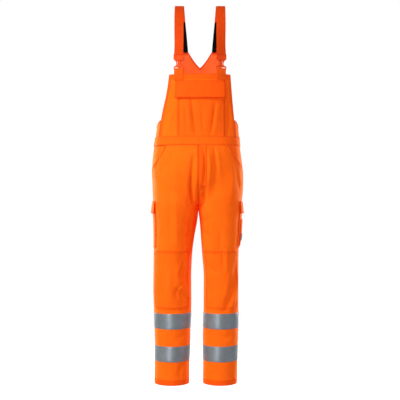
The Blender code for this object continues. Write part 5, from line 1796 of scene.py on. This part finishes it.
@dataclass
class TrouserLeg:
    """One leg: front, back, pocket facing, knee pocket, thigh pocket with flap, and tapes."""

    shop: Workshop
    figure: Figure
    side: str
    fly_turn: float = 0.135
    fly_low: float = -0.795
    straight_turn: float = 0.18
    facing_low: float = -0.729
    facing_covered: float = 0.3
    facing_wide: float = 0.06
    facing_under: float = 0.024
    facing_drop: float = 0.003
    thigh: Region = (-0.87, -1.0605, 10 / 12, 16 / 12)
    thigh_flap: tuple[float, float] = (-0.856, -0.9086)
    thigh_bulge: float = 0.0045
    flap_lift: float = 0.003
    flap_lay: float = 0.0012
    flap_seam: float = 0.011
    flap_over: float = 0.012
    tool: Region = (-0.935, -1.05, 10.6 / 12, 12.6 / 12)
    tool_bulge: float = 0.0015
    tab: Region = (-0.996, -1.027, 10.75 / 12, 11.35 / 12)
    knee: Region = (KNEE_TOP_Z, KNEE_LOW_Z, 0.18, 10 / 12)
    knee_bulge: float = 0.0015
    tape_width: float = 0.067
    tape_tops: tuple[tuple[str, float], ...] = (("upper", -1.343), ("lower", -1.485))
    hem: Turned = Turned((Side.LOW,), 0.024, 0.001, (0.022,), ply=1.0, line=0.7)

    def __post_init__(self) -> None:
        """Makes the ground that the leg's pieces lie on."""
        self.ground = Ground(
            lambda z, s: self.figure.trousers(self.side, z, s), LEG_CREASES[self.side], LEG_GIRTH,
            SIDES[self.side], (0.0, 2.0),
        )
        self.seams = f"leg_seams_{self.side}"

    def name(self, piece: str) -> str:
        """Gives a node's name on this side."""
        return f"{piece}_{self.side}"

    @staticmethod
    def region(top: float, low: float, first: float, last: float) -> Place:
        """Gives the place function of an upright rectangle of the leg."""
        return lambda p, q: (top + (low - top) * p, first + (last - first) * q)

    def opening(self, z: Array) -> Array:
        """Gives where the front ends: at the side seam, or at the front pocket's opening."""
        reach = self.figure.opening.at(z)[..., 0] / self.figure.leg_metres(self.side, z)
        return np.where(z <= OPENING_LOW_Z, 1.0, 1.0 - reach)

    def front_place(self, p: Array, q: Array) -> Pair:
        """Turns shares of the front panel into heights and turns.

        Args:
            p: Shares down.
            q: Shares across.

        Returns:
            The heights and the turns.
        """
        top = WAIST_LOW_Z - SEAM_GAP
        z = top + (HEM_Z - top) * p
        u = SEAM_TURN + (1.0 - 2.0 * SEAM_TURN) * q
        part = (u - self.straight_turn) / (1.0 - self.straight_turn)
        cut = self.straight_turn + part * (self.opening(z) - self.straight_turn)
        return z, np.where(u <= self.straight_turn, u, cut)

    def build(self) -> None:
        """Makes the leg's pieces, from the panels outwards."""
        self.front()
        self.back()
        self.facing()
        self.knee_pocket()
        self.thigh_pocket()
        for name, top in self.tape_tops:
            self.tape(name, top)
        if self.side == "left":
            self.tool_pocket()
            self.fly()

    def front(self) -> None:
        """Makes the front panel."""
        edges = (
            Turned((Side.LAST,), 0.01, 0.001, (0.002, 0.008)),
            Turned((Side.FIRST,), 0.007, 0.0006, (0.0025,), CROTCH_Z), self.hem,
        )
        panel = Panel(self.ground, self.front_place, 344, 98, turned=edges)
        self.shop.add(Cut(self.name("leg_front"), (0.31, 1.06), 0.275), panel, self.seams)
        tacks = [panel.path(((p, 0.974), (p, 0.998))) for p in (0.012, 0.112)]
        self.shop.needlework.sew(self.seams, tacks, kind=Sewing.TACK)

    def back(self) -> None:
        """Makes the back panel."""
        place = self.region(WAIST_LOW_Z - SEAM_GAP, HEM_Z, 1.0 + SEAM_TURN, 2.0 - SEAM_TURN)
        edges = (Turned((Side.LAST,), 0.011, 0.001, (0.002, 0.009)), self.hem)
        panel = Panel(self.ground, place, 262, 74, turned=edges)
        self.shop.add(Cut(self.name("leg_back"), (0.33, 1.06), 0.285), panel, self.seams)

    def facing(self) -> None:
        """Makes the cloth that shows in the front pocket's opening."""
        covered, side = self.facing_covered, self.side
        top = WAIST_LOW_Z - SEAM_GAP

        def place(p: Array, q: Array) -> Pair:
            """Turns shares of the facing into heights and turns.

            Args:
                p: Shares down.
                q: Shares across.

            Returns:
                The heights and the turns.
            """
            z = top + (self.facing_low - top) * p
            opening = self.figure.opening.at(z)[..., 0]
            under = opening + self.facing_under * (1.0 - q / covered)
            reach = np.where(q <= covered, under, opening * (1.0 - q) / (1.0 - covered))
            return z, 1.0 - 2.0 * SEAM_TURN - reach / self.figure.leg_metres(side, z)

        def out(lay: Lay) -> Array:
            """Gives how far the facing lies under the front, rising to the side seam.

            Args:
                lay: Where the grid's points lie.

            Returns:
                The distances.
            """
            share = lay.first / (lay.first + lay.last)
            wide = smooth_step(0.0, self.facing_wide, self.figure.opening.at(lay.z)[..., 0])
            rise = wide * smooth_step(covered + 0.2, 1.0, share)
            return -(CLOTH + self.facing_drop) * (1.0 - rise)

        panel = Panel(self.ground, place, 30, 36, out)
        self.shop.add(Cut(self.name("pocket_facing"), (0.136, 0.114), 0.0108), panel)

    def knee_pocket(self) -> None:
        """Makes the knee pad's pocket."""

        def out(lay: Lay) -> Array:
            """Gives the pocket's face: sewn down round its edge, fuller inside."""
            return LAY_GAP + CLOTH + bulge(lay.z, lay.turn, self.knee, self.knee_bulge)

        edges = (
            Turned((Side.TOP,), 0.009, 0.0005, (0.002, 0.0075), line=0.4),
            Turned((Side.LOW, Side.FIRST, Side.LAST), 0.009, 0.0003, (0.002, 0.0075), line=0.08),
        )
        panel = Panel(self.ground, self.region(*self.knee), 88, 66, out, edges, plies=0.1)
        cut = Cut(self.name("knee_pocket"), (0.178, 0.253), rests_on=(self.name("leg_front"),))
        self.shop.add(cut, panel, self.seams)

    def thigh_face(self, z: Array, turn: Array) -> Array:
        """Gives how far the thigh pocket's face stands off the leg."""
        return LAY_GAP + CLOTH + bulge(z, turn, self.thigh, self.thigh_bulge)

    def thigh_pocket(self) -> None:
        """Makes the thigh pocket and its flap."""
        edges = (Turned(PATCH, 0.009, 0.0006, (0.002, 0.0075)),)
        place = self.region(*self.thigh)
        pocket = Panel(
            self.ground, place, 50, 46, lambda lay: self.thigh_face(lay.z, lay.turn), edges, plies=0.3
        )
        rests = (self.name("leg_front"), self.name("leg_back"))
        self.shop.add(Cut(self.name("thigh_pocket"), (0.162, 0.192), rests_on=rests), pocket, self.seams)

        flap_top, flap_low = self.thigh_flap
        first, last = self.thigh[2:]

        def out(lay: Lay) -> Array:
            """Gives the flap's face: sewn to the leg at its top, over the pocket below.

            Args:
                lay: Where the grid's points lie.

            Returns:
                The distances.
            """
            sewn = smooth_step(0.0, 1.0, (flap_top - lay.z) / self.flap_seam)
            down = (flap_top - lay.z) / (flap_top - flap_low)
            over = self.thigh_face(lay.z, lay.turn) + 0.0007
            return self.flap_lay + (over + self.flap_lift * down) * sewn + DOUBLE_CLOTH

        place = self.region(flap_top, flap_low, first - self.flap_over, last + self.flap_over)
        flap = Panel(self.ground, place, 20, 50, out, FLAP_EDGES, DOUBLE_CLOTH, 0.3)
        name, rests = self.name("thigh_flap"), (self.name("thigh_pocket"),)
        cut = Cut(name, (0.188, 0.054), back="fluorescent_twill", rests_on=rests)
        self.shop.add(cut, flap, self.seams)
        tacks = [flap.path(((0.06, q - 0.03), (0.06, q + 0.03))) for q in (0.04, 0.96)]
        self.shop.needlework.sew(self.seams, tacks, kind=Sewing.TACK)

    def tool_out(self, lay: Lay) -> Array:
        """Gives the tool pocket's face."""
        full = bulge(lay.z, lay.turn, self.tool, self.tool_bulge)
        return self.thigh_face(lay.z, lay.turn) + 0.0006 + LAY_GAP + CLOTH + full

    def tool_pocket(self) -> None:
        """Makes the narrow tool pocket on the thigh pocket, and its plain grey tab."""
        edges = (Turned(PATCH, 0.006, 0.0005, (0.002,)), Turned((Side.TOP,), 0.012, 0.0005, (0.01,)))
        pocket = Panel(self.ground, self.region(*self.tool), 34, 18, self.tool_out, edges, plies=0.3)
        cut = Cut("tool_pocket", (0.054, 0.116), rests_on=("thigh_pocket_left",))
        self.shop.add(cut, pocket, self.seams)
        edges = (Turned(tuple(Side), 0.003, 0.0, (0.0016,)),)
        over = 0.0005 + LAY_GAP + CLOTH
        place = self.region(*self.tab)
        tab = Panel(self.ground, place, 14, 10, lambda lay: self.tool_out(lay) + over, edges)
        grey = "grey_tab_cloth"
        cut = Cut("tool_tab", (0.016, 0.031), None, grey, grey, "grey_tab", rests_on=("tool_pocket",))
        self.shop.add(cut, tab, "tool_tab_seams", "grey_sewing_thread")

    def fly(self) -> None:
        """Makes the fly's placket."""
        place = self.region(WAIST_LOW_Z - SEAM_GAP, self.fly_low, SEAM_TURN, self.fly_turn)
        edges = (Turned((Side.LAST, Side.LOW), 0.006, 0.0002, (0.002, 0.0075), line=0.15),)
        edges += (Turned((Side.FIRST,), 0.004, 0.0002, (0.002,), line=0.8),)
        over = 0.0007 + LAY_GAP + CLOTH
        panel = Panel(
            self.ground, place, 46, 12, lambda lay: np.full(lay.z.shape, over), edges, plies=0.3
        )
        self.shop.add(Cut("fly", (0.037, 0.182), rests_on=("leg_front_left",)), panel, self.seams)
        tack = panel.path(((0.93, 0.05), (0.93, 0.4)))
        self.shop.needlework.sew(self.seams, [tack], kind=Sewing.TACK)

    @staticmethod
    def tape_out(lay: Lay) -> Array:
        """Gives how far a tape's face stands off, a little less along its sewn edges."""
        near = lay.edge(Side.TOP, Side.LOW)
        return LAY_GAP + TAPE_THICK + 0.0005 * smooth_step(0.0, 0.006, near)

    def tape(self, place: str, top: float) -> None:
        """Makes one reflective tape round the leg.

        Args:
            place: Which tape it is, upper or lower.
            top: The height of its top edge.
        """
        edges = (Turned((Side.TOP, Side.LOW), 0.001, 0.0, (0.003,)),)
        place_of = self.region(top, top - self.tape_width, 0.0, 2.0)
        panel = Panel(self.ground, place_of, 18, 128, self.tape_out, edges, TAPE_THICK, around=True)
        bead = "glass_bead_tape"
        rests = (self.name("leg_front"), self.name("leg_back"))
        flat = (0.5, self.tape_width)
        cut = Cut(self.name(f"tape_{place}"), flat, None, bead, bead, "grey_tape", rests_on=rests)
        self.shop.add(cut, panel, self.name("tape_seams"), "grey_sewing_thread")


def through(points: Sequence[Vector], spans: int) -> list[Vector]:
    """Gives points on a smooth curve through the given points.

    Args:
        points: The given points.
        spans: How many steps lie between two of them.

    Returns:
        The curve's points.
    """
    curve = []
    for i in range(len(points) - 1):
        before, start = points[max(i - 1, 0)], points[i]
        end, after = points[i + 1], points[min(i + 2, len(points) - 1)]
        for k in range(spans):
            t = k / spans
            t2, t3 = t * t, t * t * t
            curve.append(
                start * (2 * t3 - 3 * t2 + 1)
                + 0.5 * (end - before) * (t3 - 2 * t2 + t)
                + end * (3 * t2 - 2 * t3)
                + 0.5 * (after - start) * (t3 - t2)
            )
    return curve + [points[-1]]


@dataclass
class Brace:
    """One shoulder strap with its elastic, its buckle and the tab on the bib."""

    shop: Workshop
    bib: Bib
    side: str
    width: float = 0.04
    strap_x: float = 0.0905
    turns_back: float = 0.026
    flat_z: float = -0.04
    turned_z: float = -0.215
    back_turn: float = math.radians(17)
    buckle_top: float = -0.225
    buckle_length: float = 0.068
    bar_height: float = 0.003
    loop_radius: float = 0.0034
    loop_free: float = 0.012
    tab_sewn: float = 0.027
    tab_under: float = 0.0013
    band_columns: int = 11
    elastic_on: float = 0.0026

    def __post_init__(self) -> None:
        """Finds the plane that the buckle stands in, over the bib's top edge."""
        self.outward = SIDES[self.side]
        u = self.bib.share(self.outward * self.strap_x)
        row = np.array([[u - 0.06, u, u + 0.06]])
        self.centre = Vector(self.on_bib(0.0, row, -0.5 * CLOTH)[0, 1])
        edge = self.on_bib(0.0, row, 0.0)[0]
        self.across = (Vector(edge[2]) - Vector(edge[0])).normalized()
        self.forward = Vector((self.across.y, -self.across.x, 0.0))
        self.turn = abs(math.atan2(self.across.y, self.across.x))

    def on_bib(self, height: float, u: Array, out: float) -> Array:
        """Gives points on the bib under its top edge."""
        z = np.full(u.shape, BIB_TOP_Z + min(height, 0.0))
        return self.bib.ground.lay(z, self.bib.turn(z, u), out)[0]

    def band(self, path: Sequence[Vector], across: Sequence[Vector], thick: float) -> Skin:
        """Gives a flat band along a path, a little thinner at its selvedges.

        Args:
            path: Its centre line.
            across: The way across it at each point.
            thick: Its thickness.

        Returns:
            The band's grid.
        """
        steps = np.linspace(-0.5, 0.5, self.band_columns)
        swell = 0.5 * thick * (1.0 - 0.45 * np.abs(2.0 * steps) ** 8)
        face, back = [], []
        for i, (here, side) in enumerate(zip(path, across)):
            along = path[min(i + 1, len(path) - 1)] - path[max(i - 1, 0)]
            normal = np.array(side.cross(along).normalized())
            centre = np.array(here) + np.outer(steps * self.width, np.array(side))
            face.append(centre + np.outer(swell, normal))
            back.append(centre - np.outer(swell, normal))
        return Skin(np.array(face), np.array(back))

    def path(self, rows: Sequence[tuple[float, float, float]]) -> list[Vector]:
        """Gives a centre line of this side from its table."""
        return [Vector((self.outward * (self.strap_x - lean), y, z)) for z, y, lean in rows]

    def cut(self, piece: str, length: float, cloth: str, rests: tuple[str, ...] = ()) -> Cut:
        """Gives the cut of a band.

        Args:
            piece: The node's name without its side.
            length: The band's length.
            cloth: Its finish.
            rests: The nodes that it lies on.

        Returns:
            The cut.
        """
        slot = "black_elastic" if cloth == "woven_elastic" else "orange_webbing"
        held = Hold.LAID if rests else Hold.STRETCHED
        name = f"{piece}_{self.side}"
        return Cut(name, (self.width, length), None, cloth, cloth, slot, held, rests)

    def build(self) -> None:
        """Makes the strap, the elastic and the tab, and finishes the buckle."""
        seams = self.strap()
        self.elastic()
        seams += self.tab()
        self.shop.needlework.sew("strap_seams", seams, "strap_sewing_thread")
        for part in ("buckle_socket", "buckle_prongs"):
            buckle = self.shop.nodes[f"{part}_{self.side}"]
            buckle.data.materials.clear()
            buckle.data.materials.append(self.shop.finishes["moulded_acetal"])
            log.info("%s: finished", buckle.name)

    def strap(self) -> list[Pair]:
        """Makes the shoulder strap, looped round the buckle's upper bar.

        Returns:
            Its rows of stitches.
        """
        bar = self.centre.copy()
        bar.z = self.buckle_top - 0.5 * self.bar_height
        steps = ((1.0, -0.6), (0.7, -0.75), (0.4, -0.9))
        loop = [
            bar + Vector((0.0, 0.0, up * self.turns_back)) + self.forward * self.loop_radius * out
            for up, out in steps
        ]
        for i in range(13):
            angle = math.pi * i / 12
            offset = self.forward * -math.cos(angle) - Vector((0.0, 0.0, 2.2 * math.sin(angle)))
            loop.append(bar + offset * self.loop_radius)
        above = loop[-1] + Vector((0.0, 0.0, self.loop_free))
        body = through([above, *self.path(STRAP_ROWS)], 12)
        turns = [self.turn] * len(loop)
        for point in body:
            share = smooth_step(-self.flat_z, -self.turned_z, -point.z)
            turns.append(self.turn * float(share) * (point.y < 0.0))
        across = [Vector((math.cos(t), math.sin(t) * self.outward, 0.0)) for t in turns]
        band = self.band(loop + body, across, WEBBING)
        self.shop.add(self.cut("strap", 0.39, "polyester_webbing"), band)
        low, high = (len(loop) + 0.3) / len(band.p), (len(loop) + 5.0) / len(band.p)
        box = ((low, 0.08), (low, 0.92), (high, 0.92), (high, 0.08), (low, 0.08))
        ends = [band.path(((p, 0.06), (p, 0.94))) for p in (0.93, 0.97)]
        return [band.path(box), *ends]

    def elastic(self) -> None:
        """Makes the elastic that carries the strap on to the back panel."""
        body = through(self.path(ELASTIC_ROWS), 12)
        first, last = body[0].z, body[-1].z
        body[0] = body[0] + (body[1] - body[0]).normalized() * SEAM_GAP
        body[-1] = body[-1] + (body[-1] - body[-2]).normalized() * self.elastic_on
        steps = [float(smooth_step(-first, -last, -point.z)) * self.back_turn for point in body]
        across = [Vector((math.cos(t), -math.sin(t) * self.outward, 0.0)) for t in steps]
        self.shop.add(self.cut("elastic", 0.133, "woven_elastic"), self.band(body, across, ELASTIC))

    def tab(self) -> list[Pair]:
        """Makes the webbing on the bib that loops round the buckle's lower bar.

        Returns:
            Its rows of stitches.
        """
        half = 0.5 * self.width * self.across.x
        x = self.outward * self.strap_x
        ends = sorted((self.bib.share(x - half), self.bib.share(x + half)))
        u = np.linspace(ends[0], ends[1], self.band_columns)
        lay = 0.5 * CLOTH + LAY_GAP + 0.5 * WEBBING
        front_lay = lay + self.tab_under
        bar = self.buckle_top - self.buckle_length + 0.5 * self.bar_height - BIB_TOP_Z
        sewn = [-self.tab_sewn * i / 8 for i in range(9)]
        profile = [(height, front_lay) for height in reversed(sewn)]
        for i in range(17):
            angle = math.pi * i / 16
            profile.append((bar + self.loop_radius * math.sin(angle), self.loop_radius * math.cos(angle)))
        profile += [(height, -lay) for height in sewn]
        face, back = [], []
        for i, (height, depth) in enumerate(profile):
            before, after = profile[max(i - 1, 0)], profile[min(i + 1, len(profile) - 1)]
            rise, run = after[0] - before[0], after[1] - before[1]
            scale = 0.5 * WEBBING / math.hypot(rise, run)
            step = (-run * scale, rise * scale)
            face.append(self.tab_points(height + step[0], depth + step[1], u, bar))
            back.append(self.tab_points(height - step[0], depth - step[1], u, bar))
        band = Skin(np.array(face), np.array(back))
        self.shop.add(self.cut("bib_tab", 0.11, "tab_webbing", ("bib_front",)), band)
        low, high = 1.0 / len(band.p), 7.2 / len(band.p)
        box = ((low, 0.07), (low, 0.93), (high, 0.93), (high, 0.07), (low, 0.07))
        cross = [band.path(((low, 0.07), (high, 0.93))), band.path(((low, 0.93), (high, 0.07)))]
        return [band.path(box), *cross]

    def tab_points(self, height: float, depth: float, u: Array, bar: float) -> Array:
        """Gives a row of the tab: on the curved bib below, flat in the buckle's plane above.

        Args:
            height: The row's height over the bib's edge.
            depth: How far in front of the bib it lies.
            u: Shares across, from -1 to 1.
            bar: The height of the buckle's bar.

        Returns:
            The points.
        """
        lift = np.array((0.0, 0.0, max(height, 0.0)))
        curved = self.on_bib(height, u[None, :], depth - 0.5 * CLOTH)[0] + lift
        edge = self.on_bib(0.0, u[None, :], -0.5 * CLOTH)[0]
        offset = (edge - np.array(self.centre)) @ np.array(self.across)
        flat = np.array(self.centre) + np.outer(offset, np.array(self.across))
        flat = flat + np.array(self.forward) * depth + lift
        share = float(smooth_step(0.0, 0.6 * bar, height))
        return curved + (flat - curved) * share


@dataclass
class Studio:
    """A plain pale floor, soft studio light and the camera at the photograph's angle."""

    shop: Workshop
    distance: float = 3.7
    height: float = -0.8514
    field: float = 1.76
    floor_z: float = -1.7
    ambient: float = 0.2
    aim_z: float = -0.72
    lights: tuple[tuple[str, tuple[float, ...], tuple[float, float], float, str], ...] = (
        ("key", (-2.7, -2.2, 1.1), (1.2, 1.2), 178.0, "#fffaf2"),
        ("strip", (-1.1, -2.9, -1.1), (0.3, 1.6), 27.0, "#ffffff"),
        ("fill", (2.4, -1.1, -0.4), (0.9, 0.9), 27.0, "#f6f9ff"),
        ("left_rim", (-1.35, 1.45, -0.65), (0.7, 1.4), 72.0, "#ffffff"),
        ("right_rim", (1.35, 1.45, -0.65), (0.7, 1.4), 72.0, "#ffffff"),
    )

    def build(self) -> None:
        """Makes the floor, the lights, the world and the camera."""
        mesh = bpy.data.meshes.new("floor")
        body = bmesh.new()
        bmesh.ops.create_circle(body, cap_ends=True, segments=96, radius=1.4)
        bmesh.ops.translate(body, verts=body.verts, vec=(0.0, 0.0, self.floor_z))
        body.to_mesh(mesh)
        body.free()
        mesh.materials.append(self.shop.finishes["studio_paper"])
        floor = bpy.data.objects.new("floor", mesh)
        bpy.context.scene.collection.objects.link(floor)
        target = Vector((0.0, 0.0, self.aim_z))
        for name, place, size, power, colour in self.lights:
            lamp = bpy.data.lights.new(name, "AREA")
            lamp.shape = "RECTANGLE"
            lamp.size, lamp.size_y = size
            lamp.energy = power
            lamp.color = linear(colour)[:3]
            holder = bpy.data.objects.new(name, lamp)
            holder.location = place
            holder.rotation_euler = (target - Vector(place)).to_track_quat("-Z", "Y").to_euler()
            bpy.context.scene.collection.objects.link(holder)
        world = bpy.data.worlds.new("studio")
        world.use_nodes = True
        path = add_node(world.node_tree, "ShaderNodeLightPath")
        seen = add_node(
            world.node_tree, "ShaderNodeMapRange", {"To Min": self.ambient, "To Max": 1.0},
            {"Value": path},
        )
        background = world.node_tree.nodes["Background"]
        background.inputs["Color"].default_value = linear("#ffffff")
        world.node_tree.links.new(seen.outputs["Result"], background.inputs["Strength"])
        bpy.context.scene.world = world
        bpy.context.scene.view_settings.view_transform = "Standard"
        self.camera()

    def camera(self) -> None:
        """Makes the camera: level, in front of the garment's middle."""
        lens = bpy.data.cameras.new("camera")
        lens.sensor_width = 36.0
        lens.lens = 36.0 * self.distance / self.field
        lens.dof.use_dof = False
        camera = bpy.data.objects.new("camera", lens)
        camera.location = (0.0, -self.distance, self.height)
        camera.rotation_euler = (math.radians(90.0), 0.0, 0.0)
        bpy.context.scene.collection.objects.link(camera)
        bpy.context.scene.camera = camera


def main() -> None:
    """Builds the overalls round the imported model, and the studio."""
    logging.basicConfig(level=logging.INFO, format="%(name)s: %(message)s")
    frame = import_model()
    shop = Workshop(frame["nodes"])
    figure = Figure()
    ground = Ground(figure.body, BODY_CREASES, BODY_GIRTH, 1.0)
    Studio(shop).build()
    bib = Bib(shop, figure, ground)
    bib.build()
    BackPanel(shop, figure, ground).build()
    Waistband(shop, figure, Ground(figure.body, (), BODY_GIRTH, 1.0)).build()
    for side in SIDES:
        TrouserLeg(shop, figure, side).build()
        Brace(shop, bib, side).build()
    shop.needlework.build(shop.finishes)
    bpy.context.view_layer.update()


if __name__ == "__main__":
    main()
